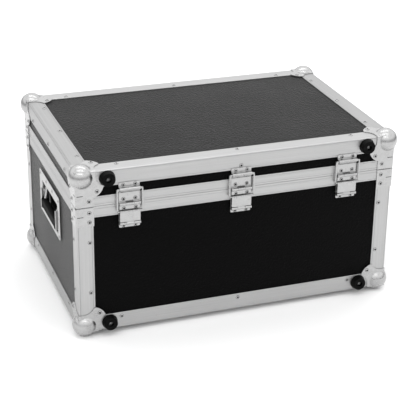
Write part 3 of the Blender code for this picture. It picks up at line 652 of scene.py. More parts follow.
def open_for_latches(rail):
    """A closing profile with the openings that the latch dishes need."""
    half = LATCH_HALF_WIDTH + GAP
    wall = DEPTH / 2
    for name in ("left", "right"):
        low, high = shell_box(f"latch_dish_{name}")
        middle = (low.x + high.x) / 2
        rail = cut(rail, block((middle - half, wall - TONGUE_DEPTH - GAP, RIM_BOTTOM_Z - FLANGE),
                               (middle + half, wall + FLANGE, RIM_TOP_Z + FLANGE)))
    return rail


# Ball corners -----------------------------------------------------------------------------
CORNERS = (("hinge_left", -1, -1), ("hinge_right", 1, -1), ("latch_left", -1, 1),
           ("latch_right", 1, 1))


def circles_meet(first, first_radius, second, second_radius):
    """The meeting point of two circles that lies to the left of the way from first to second."""
    way = second - first
    along = (first_radius ** 2 - second_radius ** 2 + way.length_squared) / (2 * way.length)
    across = math.sqrt(first_radius ** 2 - along ** 2)
    left = Vector((-way.y, way.x)).normalized()
    return first + way.normalized() * along + left * across


def plate_outline(leg_end=None):
    """Outline of a corner plate: a fan between two hollow throats, and a leg if it has one."""
    fan = Vector((FAN_CENTRE, FAN_CENTRE))
    throat = Vector((PLATE_REACH + THROAT_RADIUS, PLATE_STRAIGHT))
    tip = circles_meet(fan, FAN_RADIUS - FAN_ROUND, throat, THROAT_RADIUS + FAN_ROUND)
    hollow = arc(throat, THROAT_RADIUS, math.pi, math.atan2(tip.y - throat.y, tip.x - throat.x), 10)
    fan_start = math.atan2(tip.y - fan.y, tip.x - fan.x)
    rounding = arc(tip, FAN_ROUND, math.atan2(throat.y - tip.y, throat.x - tip.x), fan_start, 8)
    side = hollow + rounding[1:]
    start = -PROUD
    points = [(start, start), (PLATE_REACH, start)] + side
    if leg_end:
        fan_end = math.acos((LEG_WIDTH - FAN_CENTRE) / FAN_RADIUS)
        points += arc(fan, FAN_RADIUS, fan_start, fan_end, 10)[1:]
        return points + [(LEG_WIDTH, leg_end), (start, leg_end)]
    points += arc(fan, FAN_RADIUS, fan_start, math.pi / 2 - fan_start, 18)[1:-1]
    points += [(y, x) for x, y in reversed(side)]
    return points + [(start, PLATE_REACH)]


def on_face(axis, p, q, depth):
    """A point in corner coordinates, on the shell face across one axis."""
    return ((depth, p, q), (p, depth, q), (p, q, depth))[axis]


def corner_plate(axis, outline):
    """A corner plate in corner coordinates with its outer edge rounded."""
    points = [on_face(axis, p, q, -PROUD) for p, q in outline]
    bm = prism(points, on_face(axis, 0, 0, 2 * PROUD))
    rim = [edge for edge in bm.edges
           if all(abs(vert.co[axis] + PROUD) < NEAR for vert in edge.verts)]
    bmesh.ops.bevel(bm, geom=rim, offset=EDGE_ROUND, segments=2, profile=0.5, affect="EDGES")
    return bm


def fillet_ring(axis):
    """The rounded transition between a corner plate and the ball, over that plate only."""
    drop = BALL_INSET + PROUD
    middle_height = drop + FILLET_RADIUS
    middle_reach = math.sqrt((BALL_RADIUS + FILLET_RADIUS) ** 2 - middle_height ** 2)
    lean = math.atan2(-middle_height, -middle_reach)
    section = arc((middle_reach, middle_height), FILLET_RADIUS, lean, -math.pi / 2, 6)
    bury = GAP * 2
    contact = section[0]
    section += [(middle_reach, drop - bury), (contact[0] - 4 * bury, drop - bury),
                (contact[0] - 2 * bury, contact[1] - GAP)]
    bm = turned(section, 64)
    turn = (Matrix.Rotation(-math.pi / 2, 4, "Y"), Matrix.Rotation(math.pi / 2, 4, "X"),
            Matrix.Rotation(math.pi, 4, "X"))[axis]
    ring = placed(bm, Matrix.Translation((BALL_INSET,) * 3) @ turn)
    low = [-PROUD] * 3
    low[axis] = -BALL_RADIUS
    return common(ring, block(low, (CORNER_FAR,) * 3))


def ball(radius):
    """The corner's ball in corner coordinates."""
    bm = bmesh.new()
    bmesh.ops.create_uvsphere(bm, u_segments=64, v_segments=32, radius=radius)
    about_x, about_y = (math.radians(angle) for angle in BALL_TILT)
    tilt = Matrix.Rotation(about_x, 4, "X") @ Matrix.Rotation(about_y, 4, "Y")
    return placed(bm, Matrix.Translation((BALL_INSET,) * 3) @ tilt)


def slot_cutter(axis, drop):
    """A short groove across the arris end of a leg, at a distance from the shell's corner."""
    outline = rounded_rectangle((SLOT_START, drop - SLOT_HALF), (SLOT_END, drop + SLOT_HALF),
                                SLOT_HALF * 0.98, 4)
    points = [on_face(axis, p, q, -PROUD * 2) for p, q in outline]
    return prism(points, on_face(axis, 0, 0, PROUD * 2 - SLOT_FLOOR))


def paint_shade_in_slots(bm, axis, drop):
    """Give the inside of one slot the second material, black as painted shade."""
    for face in bm.faces:
        point = face.calc_center_median()
        depth = point[axis]
        along = point[1 if axis == 0 else 0]
        inside = NEAR - PROUD < depth < NEAR - SLOT_FLOOR and SLOT_START < along < SLOT_END + GAP
        if inside and abs(point.z - drop) < SLOT_HALF + NEAR:
            face.material_index = 1


def arris_notch(drop):
    """A rounded notch across the arris, where two plates meet at the parting line."""
    reach = ARRIS_NOTCH * 2
    return rod((-reach, -reach, drop), (reach, reach, drop), ARRIS_NOTCH, SIDES)


def ball_corner(leg_end):
    """One corner fitting in corner coordinates: inward distances from a corner of the shell."""
    side_outline = plate_outline(leg_end)
    bm = corner_plate(2, plate_outline())
    for axis in (0, 1):
        bm = joined(bm, corner_plate(axis, side_outline))
    bm = common(bm, block((-PROUD,) * 3, (CORNER_FAR,) * 3, PLATE_ARRIS, 5))
    bm = joined(bm, ball(BALL_RADIUS))
    for axis in range(3):
        bm = joined(bm, fillet_ring(axis))
    bm = cut(bm, ball(BALL_RADIUS - BALL_SHEET))
    bm = cut(bm, block((-GAP,) * 3, (CORNER_FAR,) * 3))
    if leg_end:
        for axis in (0, 1):
            bm = cut(bm, slot_cutter(axis, LEG_SLOT_DROP))
        bm = cut(bm, arris_notch(HEIGHT - PARTING_Z))
        for axis in (0, 1):
            paint_shade_in_slots(bm, axis, LEG_SLOT_DROP)
    return bm


def build_ball_corners():
    """The eight ball corners, as mirrored copies of one lower and one upper fitting."""
    leg_end = HEIGHT - PARTING_Z - PLATE_END_GAP
    for level, sz, end in (("bottom", -1, None), ("top", 1, leg_end)):
        master = ball_corner(end)
        for name, sx, sy in CORNERS:
            corner = Vector((sx * WIDTH / 2, sy * DEPTH / 2, HEIGHT / 2 + sz * HEIGHT / 2))
            matrix = Matrix.Translation(corner) @ Matrix.Diagonal((-sx, -sy, -sz, 1))
            piece = add_piece(f"pressed_corner_{level}_{name}", placed(master.copy(), matrix),
                              CORNER_STEEL, f"ball_corner_{level}_{name}")
            # The second material is the black painted shade in the slots.
            piece.data.materials.append(PAINTED_SHADE)
        master.free()


def build_braces():
    """Bent plates round the base's corners below the parting line."""
    centre = PLATE_ARRIS - PROUD
    bend = arc((centre, centre), PLATE_ARRIS, -math.pi / 2, -math.pi, 8)
    outline = [(LEG_WIDTH, -PROUD)] + bend + [(-PROUD, LEG_WIDTH), (-GAP, LEG_WIDTH), (-GAP, -GAP),
                                              (LEG_WIDTH, -GAP)]
    height = PARTING_Z - PLATE_END_GAP - BRACE_BOTTOM_Z
    slot_drop = HEIGHT - BRACE_SLOT_Z
    for name, sx, sy in CORNERS:
        brace = prism([(p, q, HEIGHT - BRACE_BOTTOM_Z) for p, q in outline], (0, 0, -height),
                      EDGE_ROUND * 0.8)
        for axis in (0, 1):
            brace = cut(brace, slot_cutter(axis, slot_drop))
        brace = cut(brace, arris_notch(HEIGHT - PARTING_Z))
        for axis in (0, 1):
            paint_shade_in_slots(brace, axis, slot_drop)
        corner = Vector((sx * WIDTH / 2, sy * DEPTH / 2, HEIGHT))
        matrix = Matrix.Translation(corner) @ Matrix.Diagonal((-sx, -sy, -1, 1))
        piece = add_piece(f"bent_brace_{name}", placed(brace, matrix), CORNER_STEEL,
                          f"corner_brace_{name}")
        # The second material is the black painted shade in the slots.
        piece.data.materials.append(PAINTED_SHADE)


# Rivets -----------------------------------------------------------------------------------
RIVET_RADIUS = 0.0032
RIVET_HEIGHT = 0.0013
RIVET_HOLE = 0.0019
# Width of the black ring of painted shadow round each rivet head.
RIVET_SHADOW_RING = 0.0005
OUTWARD = {"hinge": Matrix.Rotation(math.pi / 2, 4, "X"),
           "latch": Matrix.Rotation(-math.pi / 2, 4, "X"),
           "left": Matrix.Rotation(-math.pi / 2, 4, "Y"),
           "right": Matrix.Rotation(math.pi / 2, 4, "Y"),
           "top": Matrix.Identity(4), "bottom": Matrix.Rotation(math.pi, 4, "X")}


def face_point(side, along, z, proud):
    """A point on a side of the shell, or on its top or bottom, where z is then y."""
    if side in ("hinge", "latch"):
        sign = 1 if side == "latch" else -1
        return Vector((along, sign * (DEPTH / 2 + proud), z))
    if side in ("left", "right"):
        sign = 1 if side == "right" else -1
        return Vector((sign * (WIDTH / 2 + proud), along, z))
    return Vector((along, z, HEIGHT + proud if side == "top" else -proud))


def rivet_head(radius=RIVET_RADIUS, height=RIVET_HEIGHT, hole=RIVET_HOLE):
    """A blind rivet's domed head, with the hole that its stem leaves and a flat ring round it; the hole's inside
    and the ring are black as painted shade.
    """
    floor = RIVET_SHADOW_RING / 4
    lip = height * 0.25
    shadow_edge = radius + RIVET_SHADOW_RING
    crown = [(radius * math.cos(turn), lip + (height - lip) * math.sin(turn))
             for turn in (math.radians(step * 10) for step in range(6))]
    profile = [(0, -GAP), (shadow_edge, -GAP), (shadow_edge, floor), (radius, floor)] + crown
    profile += [(hole * 1.15, height * 0.97), (hole, height * 0.85), (hole, floor), (0, floor)]
    bm = turned(profile, 20)
    # Painted shade: faces inside the stem's hole and on the ring round the head take the black second material.
    for face in bm.faces:
        centre = face.calc_center_median()
        inside = 0 < centre.xy.length < hole * 1.05 and centre.z > 0
        if inside or centre.xy.length > radius * 0.99:
            face.material_index = 1
    return bm


def rivets_at(places, **shape):
    """Rivet heads at (side, along, z, proud) places, as one bmesh."""
    heads = []
    for side, along, z, proud in places:
        matrix = Matrix.Translation(face_point(side, along, z, proud)) @ OUTWARD[side]
        heads.append(placed(rivet_head(**shape), matrix))
    return merged(*heads)


def add_rivets(name, places, node, **shape):
    """Rivets that go with a CAD node, with black painted shade inside their holes and round their heads."""
    piece = add_fitting(name, rivets_at(places, **shape), RIVET_STEEL, node)
    piece.data.materials.append(PAINTED_SHADE)


def half_length(side):
    """Half the length of a side of the case."""
    return WIDTH / 2 if side in ("hinge", "latch") else DEPTH / 2


SIDES_ROUND = ("hinge", "latch", "left", "right")
POST_RIVET_ZS = (0.0785, 0.1762)
LEG_RIVET_Z = 0.2548
BRACE_RIVET_ZS = (0.2157, 0.2333)
STRIP_SPOTS = {"hinge": (-0.222, 0.0, 0.222), "latch": (-0.222, 0.0, 0.222),
               "left": (-0.125, 0.0, 0.125), "right": (-0.125, 0.0, 0.125)}
STRIP_RIVET_INSET = 0.0225
PETAL_RIVET = 0.037
LEG_RIVET_INSET = 0.0226


def corner_rivets(level):
    """Rivets through the petals of the four ball corners at the bottom or the top."""
    z = HEIGHT - PETAL_RIVET if level == "top" else PETAL_RIVET
    x = WIDTH / 2 - PETAL_RIVET
    y = DEPTH / 2 - PETAL_RIVET
    places = [(side, end * (half_length(side) - PETAL_RIVET), z, PROUD)
              for side in SIDES_ROUND for end in (-1, 1)]
    return places + [(level, sx * x, sy * y, PROUD) for sx in (-1, 1) for sy in (-1, 1)]


def strip_rivets(level):
    """Rivets along the flanges of the edge extrusions, but for those under the hardware."""
    z = HEIGHT - STRIP_RIVET_INSET if level == "top" else STRIP_RIVET_INSET
    places = []
    for side, spots in STRIP_SPOTS.items():
        for spot in spots:
            if level == "bottom" or side in ("left", "right") or spot == 0:
                places.append((side, spot, z, 0))
            place = face_point(side, spot, z, -STRIP_RIVET_INSET)
            places.append((level, place.x, place.y, 0))
    return places


def build_rivets():
    """All the blind rivets of the shell, one mesh on the base and one on the lid."""
    base = corner_rivets("bottom") + strip_rivets("bottom")
    lid = corner_rivets("top") + strip_rivets("top")
    for side in SIDES_ROUND:
        for end in (-1, 1):
            along = end * (half_length(side) - LEG_RIVET_INSET)
            lid.append((side, along, LEG_RIVET_Z, PROUD))
            base += [(side, along, z, PROUD) for z in BRACE_RIVET_ZS]
            base += [(side, along, z, 0) for z in POST_RIVET_ZS]
    add_rivets("rivets_base", base, "ball_corner_bottom_hinge_left")
    add_rivets("rivets_lid", lid, "ball_corner_top_hinge_left")


# Rubber feet ------------------------------------------------------------------------------
FOOT_HEIGHT = 0.012
FOOT_BASE_RADIUS = 0.01425
FOOT_FACE_RADIUS = 0.0122
FOOT_RECESS_RADIUS = 0.0048
FOOT_RECESS_DEPTH = 0.0055
FOOT_ROUND = 0.0014
FOOT_RIM_HEIGHT = 0.0020
FOOT_RIM_ROUND = 0.0003
FOOT_MOUTH_ROUND = 0.0006
WASHER_RADIUS = 0.0040
WASHER_THICKNESS = 0.0008
WASHER_ROUND = 0.0002
SCREW_HEAD_RADIUS = 0.0034
SCREW_HEAD_RIM = 0.0004
SCREW_HEAD_CROWN = 0.0016
SCREW_HEAD_BURY = 0.0001
SCREW_SLOT_LENGTH = 0.0038
SCREW_SLOT_WIDTH = 0.0007
SCREW_SLOT_FLOOR = 0.0009


def foot_rubber():
    """A tapered foot with a rounded rim and a recess for its screw."""
    rim = arc((FOOT_FACE_RADIUS - FOOT_ROUND, FOOT_HEIGHT - FOOT_ROUND), FOOT_ROUND, 0.1,
              math.pi / 2, 6)
    mouth = arc((FOOT_RECESS_RADIUS + FOOT_MOUTH_ROUND, FOOT_HEIGHT - FOOT_MOUTH_ROUND),
                FOOT_MOUTH_ROUND, math.pi / 2, math.pi, 4)
    floor = FOOT_HEIGHT - FOOT_RECESS_DEPTH
    profile = [(0, GAP), (FOOT_BASE_RADIUS - FOOT_RIM_ROUND, GAP),
               (FOOT_BASE_RADIUS, GAP + FOOT_RIM_ROUND), (FOOT_BASE_RADIUS, FOOT_RIM_HEIGHT)]
    profile += rim + mouth
    profile += [(FOOT_RECESS_RADIUS, floor), (0, floor)]
    return turned(profile, 48)


def foot_screw():
    """A washer and a cross-slotted pan head in a foot's recess."""
    floor = FOOT_HEIGHT - FOOT_RECESS_DEPTH
    top = floor + WASHER_THICKNESS
    washer = turned([(0, floor), (WASHER_RADIUS, floor), (WASHER_RADIUS, top - WASHER_ROUND),
                     (WASHER_RADIUS - WASHER_ROUND, top), (0, top)])
    low = top - SCREW_HEAD_BURY
    rim = low + SCREW_HEAD_RIM
    crown = [(SCREW_HEAD_RADIUS * math.cos(turn), rim + SCREW_HEAD_CROWN * math.sin(turn))
             for turn in (math.radians(step * 12) for step in range(7))]
    screw = turned([(0, low)] + crown + [(0, rim + SCREW_HEAD_CROWN)])
    slot = (SCREW_SLOT_LENGTH / 2, SCREW_SLOT_WIDTH / 2)
    for x, y in (slot, slot[::-1]):
        screw = cut(screw, block((-x, -y, low + SCREW_SLOT_FLOOR), (x, y, FOOT_HEIGHT)))
    return merged(washer, screw)


def build_feet():
    """Four feet on the hinge face, each with its screw."""
    for level in ("lower", "upper"):
        for side in ("left", "right"):
            node = f"rubber_foot_{level}_{side}"
            low, high = shell_box(node)
            middle = (low + high) / 2
            place = Matrix.Translation((middle.x, -DEPTH / 2, middle.z)) @ OUTWARD["hinge"]
            rubber = placed(foot_rubber(), place)
            add_piece(f"tapered_foot_{level}_{side}", rubber, FOOT_RUBBER, node)
            screw = placed(foot_screw(), place)
            add_fitting(f"foot_screw_{level}_{side}", screw, SCREW_STEEL, node)


# Stay hinges ------------------------------------------------------------------------------
PIVOT_PROUD = 0.006
HINGE_SHEET = 0.0012
LEAF_LIFT = 0.0003
ROLL_RADIUS = 0.0024
ROLL_BEND = 0.0012
ROLL_TURN = math.radians(290)
PIN_RADIUS = 0.0015
PIN_ROUND = 0.0004
KNUCKLE_HALF = 0.0067
KNUCKLE_GAP = 0.0003
HINGE_RIVET_X = 0.0107
HINGE_RIVET = {"radius": 0.0029, "height": 0.0010, "hole": 0.0018}
# The lid's leaf
LID_STAY_Z = 0.2715
LID_FLANGE_LOW_Z = LID_STAY_Z + 0.0050
LID_FLANGE_DROP = 0.0010
LID_FLANGE_CORNER = 0.0028
EYE_RADIUS = 0.0031
EYE_END_INSET = 0.0005
EYE_LAP = 0.0006
LEAF_TOP_Z = LID_STAY_Z - 0.0017
LEAF_START = 0.0036
LEAF_LAP = 0.00072
LEAF_SLOT_ZS = (0.2663, 0.2643)
LEAF_SLOT_HALF = 0.0005
LID_LEAF_RIVET_ZS = (0.2783, 0.2520)
# The base's leaf
BASE_STAY_Z = 0.2067
BASE_SHEET_HIGH_Z = PARTING_Z - 0.0034
BASE_SHEET_LOW_Z = BASE_STAY_Z - 0.0036
BASE_FLANGE_HIGH_Z = BASE_STAY_Z - 0.0030
BASE_FLANGE_CORNER = 0.0022
KNUCKLE_TAIL = 0.0060
EAR_TAIL = 0.0055
EAR_GAP = 0.0006
PAD_HEIGHT = 0.0042
PAD_LOW_Z = 0.2325
PAD_HIGH_Z = 0.2404
PAD_ROUND = 0.0006
BASE_LEAF_RIVETS = ((0.2356, LEAF_LIFT + PAD_HEIGHT), (0.2012, LEAF_LIFT + HINGE_SHEET))
# The stay's frame, and the strap that slides in its sleeve
STAY_BAR = 0.0026
STAY_ROUND = 0.0045
STAY_SHEET = 0.0015
STAY_EDGE_ROUND = 0.0006
STAY_FLANGE = 0.0010
STAY_FLANGE_LIFT = 0.0016
SLEEVE_TOP_Z = 0.2316
SLEEVE_HALF = 0.0025
SLEEVE_ROUND = 0.0010
SLEEVE_SLOT_HALF = 0.0193
SLEEVE_SLOT_HALF_DEPTH = 0.0012
STRAP_TONGUE_HALF = 0.0070
STRAP_SIDE_GAP = 0.0006
STRAP_SHOULDER_GAP = 0.0010
STRAP_NECK_LAP = 0.0010
STRAP_ROUND = 0.0012


def rolled_section(z, side, flat_end, radius=ROLL_RADIUS):
    """Section of a leaf that is rolled into an eye: (proud, z) points of the bent sheet.

    side 1 puts the flat leaf above the eye, and -1 below it.
    """
    middle = LEAF_LIFT + HINGE_SHEET / 2
    roll = radius - HINGE_SHEET / 2
    quarter = side * math.pi / 2
    bend = (middle + ROLL_BEND, z + side * (roll + ROLL_BEND))
    line = [(middle, flat_end)] + arc(bend, ROLL_BEND, math.pi, math.pi + quarter, 5)
    line += arc((PIVOT_PROUD, z), roll, quarter, quarter - side * ROLL_TURN, 26)
    return ribbon(line, HINGE_SHEET)


def hinge_prism(low, high, section):
    """A section of (proud, z) points on the hinge face, run from one x to another."""
    points = [(low, -DEPTH / 2 - proud, z) for proud, z in section]
    return prism(points, (high - low, 0, 0))


def hinge_rod(low, high, z, radius, round_by=0.0):
    """A round bar on a turning line of a hinge, from one x to another."""
    y = -DEPTH / 2 - PIVOT_PROUD
    return rod((low, y, z), (high, y, z), radius, SIDES, round_by)


def leaf_plate(x, half, low, high, rounded_end=None, radius=0.0):
    """A flat stretch of a leaf, with the corners of its top or its bottom end rounded."""
    outline = []
    for quarter, (right, end) in enumerate(((1, "top"), (-1, "top"), (-1, "bottom"), (1, "bottom"))):
        up = 1 if end == "top" else -1
        px = x + right * half
        pz = high if end == "top" else low
        if end == rounded_end:
            start = quarter * math.pi / 2
            centre = (px - right * radius, pz - up * radius)
            outline += arc(centre, radius, start, start + math.pi / 2, 6)
        else:
            outline.append((px, pz))
    points = [(px, -DEPTH / 2 - LEAF_LIFT, pz) for px, pz in outline]
    return prism(points, (0, -HINGE_SHEET, 0), EDGE_BREAK)


def lid_leaf(x, half, top):
    """The lid's leaf: a rolled flange over the stay's bar, and a sheet down to two knuckles."""
    flange = leaf_plate(x, half, LID_FLANGE_LOW_Z, top - LID_FLANGE_DROP, "top", LID_FLANGE_CORNER)
    eye_half = half - EYE_END_INSET
    eye = hinge_prism(x - eye_half, x + eye_half,
                      rolled_section(LID_STAY_Z, 1, LID_FLANGE_LOW_Z + EYE_LAP, EYE_RADIUS))
    inner = KNUCKLE_HALF + KNUCKLE_GAP
    rolled = rolled_section(PARTING_Z, 1, PARTING_Z + LEAF_START + LEAF_LAP)
    knuckles = [hinge_prism(x - half, x - inner, rolled), hinge_prism(x + inner, x + half, rolled)]
    sheet = leaf_plate(x, half, PARTING_Z + LEAF_START, LEAF_TOP_Z)
    slot = half - HINGE_SHEET
    for z in LEAF_SLOT_ZS:
        sheet = cut(sheet, block((x - slot, -DEPTH / 2 - FLANGE, z - LEAF_SLOT_HALF),
                                 (x + slot, -DEPTH / 2 + FLANGE, z + LEAF_SLOT_HALF)))
    return merged(flange, eye, sheet, *knuckles)


def base_leaf(x, half, bottom):
    """The base's leaf: a middle knuckle, a raised pad, and two ears for the strap below."""
    knuckle = hinge_prism(x - KNUCKLE_HALF, x + KNUCKLE_HALF,
                          rolled_section(PARTING_Z, -1, PARTING_Z - KNUCKLE_TAIL))
    sheet = leaf_plate(x, half, BASE_SHEET_LOW_Z, BASE_SHEET_HIGH_Z)
    flange = leaf_plate(x, half, bottom, BASE_FLANGE_HIGH_Z, "bottom", BASE_FLANGE_CORNER)
    face = -DEPTH / 2 - LEAF_LIFT
    pad = block((x - half + GAP, face - PAD_HEIGHT, PAD_LOW_Z),
                (x + half - GAP, face, PAD_HIGH_Z), PAD_ROUND)
    inner = STRAP_TONGUE_HALF + EAR_GAP
    rolled = rolled_section(BASE_STAY_Z, -1, BASE_STAY_Z - EAR_TAIL)
    ears = [hinge_prism(x - half, x - inner, rolled), hinge_prism(x + inner, x + half, rolled)]
    return merged(sheet, flange, pad, knuckle, *ears)


def stay_frame(x, low, high):
    """The stay's sliding frame: a flanged ring with a slotted sleeve at its lower end."""
    middle_y = -DEPTH / 2 - PIVOT_PROUD
    front = middle_y + STAY_SHEET / 2
    outer = rounded_rectangle((low.x, low.z), (high.x, high.z), STAY_ROUND, 8)
    inner = rounded_rectangle((low.x + STAY_BAR, low.z + STAY_BAR / 2),
                              (high.x - STAY_BAR, high.z - STAY_BAR), STAY_ROUND - STAY_BAR / 2, 8)
    ring = prism([(px, front, pz) for px, pz in outer], (0, -STAY_SHEET, 0))
    ring = cut(ring, prism([(px, front + STAY_SHEET, pz) for px, pz in inner],
                           (0, -3 * STAY_SHEET, 0)))
    ring = bevelled(ring, STAY_EDGE_ROUND, 3, 60)
    bar = hinge_rod(low.x + STAY_BAR / 2, high.x - STAY_BAR / 2, LID_STAY_Z, PIN_RADIUS)
    sleeve = block((low.x + STAY_BAR / 4, middle_y - SLEEVE_HALF, low.z + GAP),
                   (high.x - STAY_BAR / 4, middle_y + SLEEVE_HALF, SLEEVE_TOP_Z), SLEEVE_ROUND, 4)
    slot_low = (x - SLEEVE_SLOT_HALF, middle_y - SLEEVE_SLOT_HALF_DEPTH, low.z - STAY_BAR)
    slot_high = (x + SLEEVE_SLOT_HALF, middle_y + SLEEVE_SLOT_HALF_DEPTH, SLEEVE_TOP_Z + STAY_BAR)
    sleeve = cut(sleeve, block(slot_low, slot_high))
    flanges = [block((start, middle_y, low.z + STAY_ROUND),
                     (start + STAY_FLANGE, -DEPTH / 2 - STAY_FLANGE_LIFT, LID_STAY_Z), EDGE_BREAK, 2)
               for start in (low.x, high.x - STAY_FLANGE)]
    return merged(ring, bar, sleeve, *flanges)


def stay_strap(x, low, high):
    """The strap that turns on the base leaf's ears and slides in the frame's sleeve."""
    half = (high.x - low.x) / 2 - STRAP_SIDE_GAP
    left = x - STRAP_TONGUE_HALF
    right = x + STRAP_TONGUE_HALF
    shoulder = BASE_STAY_Z + ROLL_RADIUS + STRAP_SHOULDER_GAP
    front = -DEPTH / 2 - PIVOT_PROUD + STAY_SHEET / 2
    plate = rounded_rectangle((x - half, shoulder), (x + half, high.z), STRAP_ROUND)
    sheet = prism([(px, front, pz) for px, pz in plate], (0, -STAY_SHEET, 0), EDGE_BREAK)
    neck = block((left, front - STAY_SHEET, BASE_STAY_Z), (right, front, shoulder + STRAP_NECK_LAP),
                 EDGE_BREAK, 2)
    roll = hinge_rod(left, right, BASE_STAY_Z, ROLL_RADIUS, EDGE_BREAK)
    pin = hinge_rod(low.x, high.x, BASE_STAY_Z, PIN_RADIUS, EDGE_BREAK)
    return merged(sheet, neck, roll, pin)


def build_hinge_rivets(index, x):
    """Two rivets through each row of holes in the leaves."""
    lid_rows = [(z, LEAF_LIFT + HINGE_SHEET) for z in LID_LEAF_RIVET_ZS]
    for leaf, rows in (("lid", lid_rows), ("base", BASE_LEAF_RIVETS)):
        places = [("hinge", x + end * HINGE_RIVET_X, z, proud) for z, proud in rows for end in (-1, 1)]
        add_rivets(f"{leaf}_leaf_rivets_{index}", places, f"hinge_{leaf}_plate_{index}", **HINGE_RIVET)


def build_hinges():
    """Three stay hinges with their rivets."""
    for index in (1, 2, 3):
        lid_low, lid_high = shell_box(f"hinge_lid_plate_{index}")
        base_low = shell_box(f"hinge_base_plate_{index}")[0]
        pin_low, pin_high = shell_box(f"hinge_pin_{index}")
        x = (lid_low.x + lid_high.x) / 2
        half = (lid_high.x - lid_low.x) / 2
        pin = hinge_rod(pin_low.x, pin_high.x, PARTING_Z, PIN_RADIUS, PIN_ROUND)
        for piece, node, bm in (
                ("lid_leaf", "hinge_lid_plate", lid_leaf(x, half, lid_high.z)),
                ("base_leaf", "hinge_base_plate", base_leaf(x, half, base_low.z)),
                ("knuckle_pin", "hinge_pin", pin),
                ("sliding_frame", "stay_frame", stay_frame(x, *shell_box(f"stay_frame_{index}"))),
                ("sliding_strap", "stay_strap", stay_strap(x, *shell_box(f"stay_strap_{index}")))):
            add_piece(f"{piece}_{index}", bm, HINGE_STEEL, f"{node}_{index}")
        build_hinge_rivets(index, x)


# Pressed dishes ---------------------------------------------------------------------------
DISH_SHEET = 0.0012
DISH_RIM_CORNER = 0.0050
DISH_RIM_ROUND = 0.0004
DISH_MOUTH_CORNER = 0.0045
# The rounded mouth as (growth of the outline, drop below the flange), and the rounded foot as
# (growth, rise above the floor).
DISH_MOUTH = ((0.0020, 0.0), (0.0010, 0.0003), (0.0003, 0.0011), (0.0, 0.0024))
DISH_FOOT = ((-0.0004, 0.0022), (-0.0010, 0.0008), (-0.0024, 0.0))


def pressed_pan(loops, sheet):
    """A pressed dish from rounded rectangles (half width, low, high, radius, depth), rim to floor.

    Its points are (across, up, outward), and a depth is measured below the shell's face.
    """
    bm = bmesh.new()
    rings = []
    for half, low, high, radius, depth in loops:
        outline = rounded_rectangle((-half, low), (half, high), radius, 6)
        rings.append([bm.verts.new((px, pz, -depth)) for px, pz in outline])
    for outer, inner in zip(rings, rings[1:]):
        bridge(bm, outer, inner)
    bm.faces.new(rings[-1])
    bmesh.ops.recalc_face_normals(bm, faces=bm.faces)
    if sum(face.normal.z for face in bm.faces) < 0:
        bmesh.ops.reverse_faces(bm, faces=bm.faces)
    bmesh.ops.solidify(bm, geom=bm.faces[:], thickness=sheet)
    return bm


def pan_loops(half, low, high, flange, depth):
    """The loops of a flanged dish whose mouth and floor are rounded; its sizes are inside ones."""
    steps = [(flange, DISH_RIM_CORNER, DISH_RIM_ROUND - PROUD),
             (flange - DISH_RIM_ROUND, DISH_RIM_CORNER - DISH_RIM_ROUND / 2, -PROUD)]
    steps += [(grow, DISH_MOUTH_CORNER + grow, drop - PROUD) for grow, drop in DISH_MOUTH]
    steps += [(grow, DISH_MOUTH_CORNER + grow, depth - rise) for grow, rise in DISH_FOOT]
    return [(half + grow, low - grow, high + grow, corner, at) for grow, corner, at in steps]


# Carrying handles -------------------------------------------------------------------------
HANDLE_RIM_CORNER = 0.0060
HANDLE_FLANGE = 0.004
HANDLE_RECESS_HALF = 0.062
HANDLE_RECESS_LOW = 0.133
HANDLE_RECESS_HIGH = 0.190
HANDLE_RECESS_DEPTH = 0.013
HANDLE_SHADE_DEPTH = HANDLE_RECESS_DEPTH * 0.45
HANDLE_PIVOT_Z = 0.184
HANDLE_PIVOT_INSET = 0.006
HANDLE_RIVET_ZS = (0.1315, 0.1675, 0.2020)
HANDLE_RIVET = {"radius": 0.0027, "height": 0.0009, "hole": 0.0014}
LUG_GAP = 0.0009
LUG_WALL_GAP = 0.0002
LUG_DROP = 0.0036
LUG_REACH = 0.0034
LUG_ROUND = 0.0012
BAIL_SIDES = 24
ARM_Y = 0.047
ARM_RADIUS = 0.0033
ARM_ROUND = 0.0008
BAIL_PIN_RADIUS = 0.0023
BAIL_PIN_ROUND = 0.0005
BAIL_PIN_GAP = 0.0030
GRIP_LOW = 0.137
GRIP_HIGH = 0.159
GRIP_THICKNESS = 0.013
GRIP_PROUD = 0.006
GRIP_HALF_LENGTH = 0.054
GRIP_CORNER = 0.0042
# From the finger channel to the end, as (share of the half length, how much thinner the grip is).
GRIP_STATIONS = ((0.87, 0.0007), (0.90, 0.0), (0.955, 0.0), (0.975, 0.0003), (0.992, 0.0011),
                 (1.0, 0.0022))
CHEEK_Y = 0.0541
CHEEK_SHEET = 0.0030
CHEEK_DROP = 0.0010
CHEEK_INSET = 0.0070
CHEEK_PROUD = 0.0048
CHEEK_TOP_Z = 0.1765
CHEEK_ROUND = 0.0009
CRANK_LOW_Z = CHEEK_TOP_Z - 0.0050
CRANK_HIGH_Z = CHEEK_TOP_Z - 0.0005
CRANK_INSET = 0.0058
CRANK_PROUD = 0.0007


def on_end(side, bm):
    """Move a bmesh of (across, up, outward) points to an end face of the shell."""
    turn = Matrix(((0, 0, side, side * WIDTH / 2), (-side, 0, 0, 0), (0, 1, 0, 0), (0, 0, 0, 1)))
    return placed(bm, turn)


def span(end, near, far):
    """Two distances from the middle, taken to one end of it, with the lower value first."""
    return sorted((end * near, end * far))


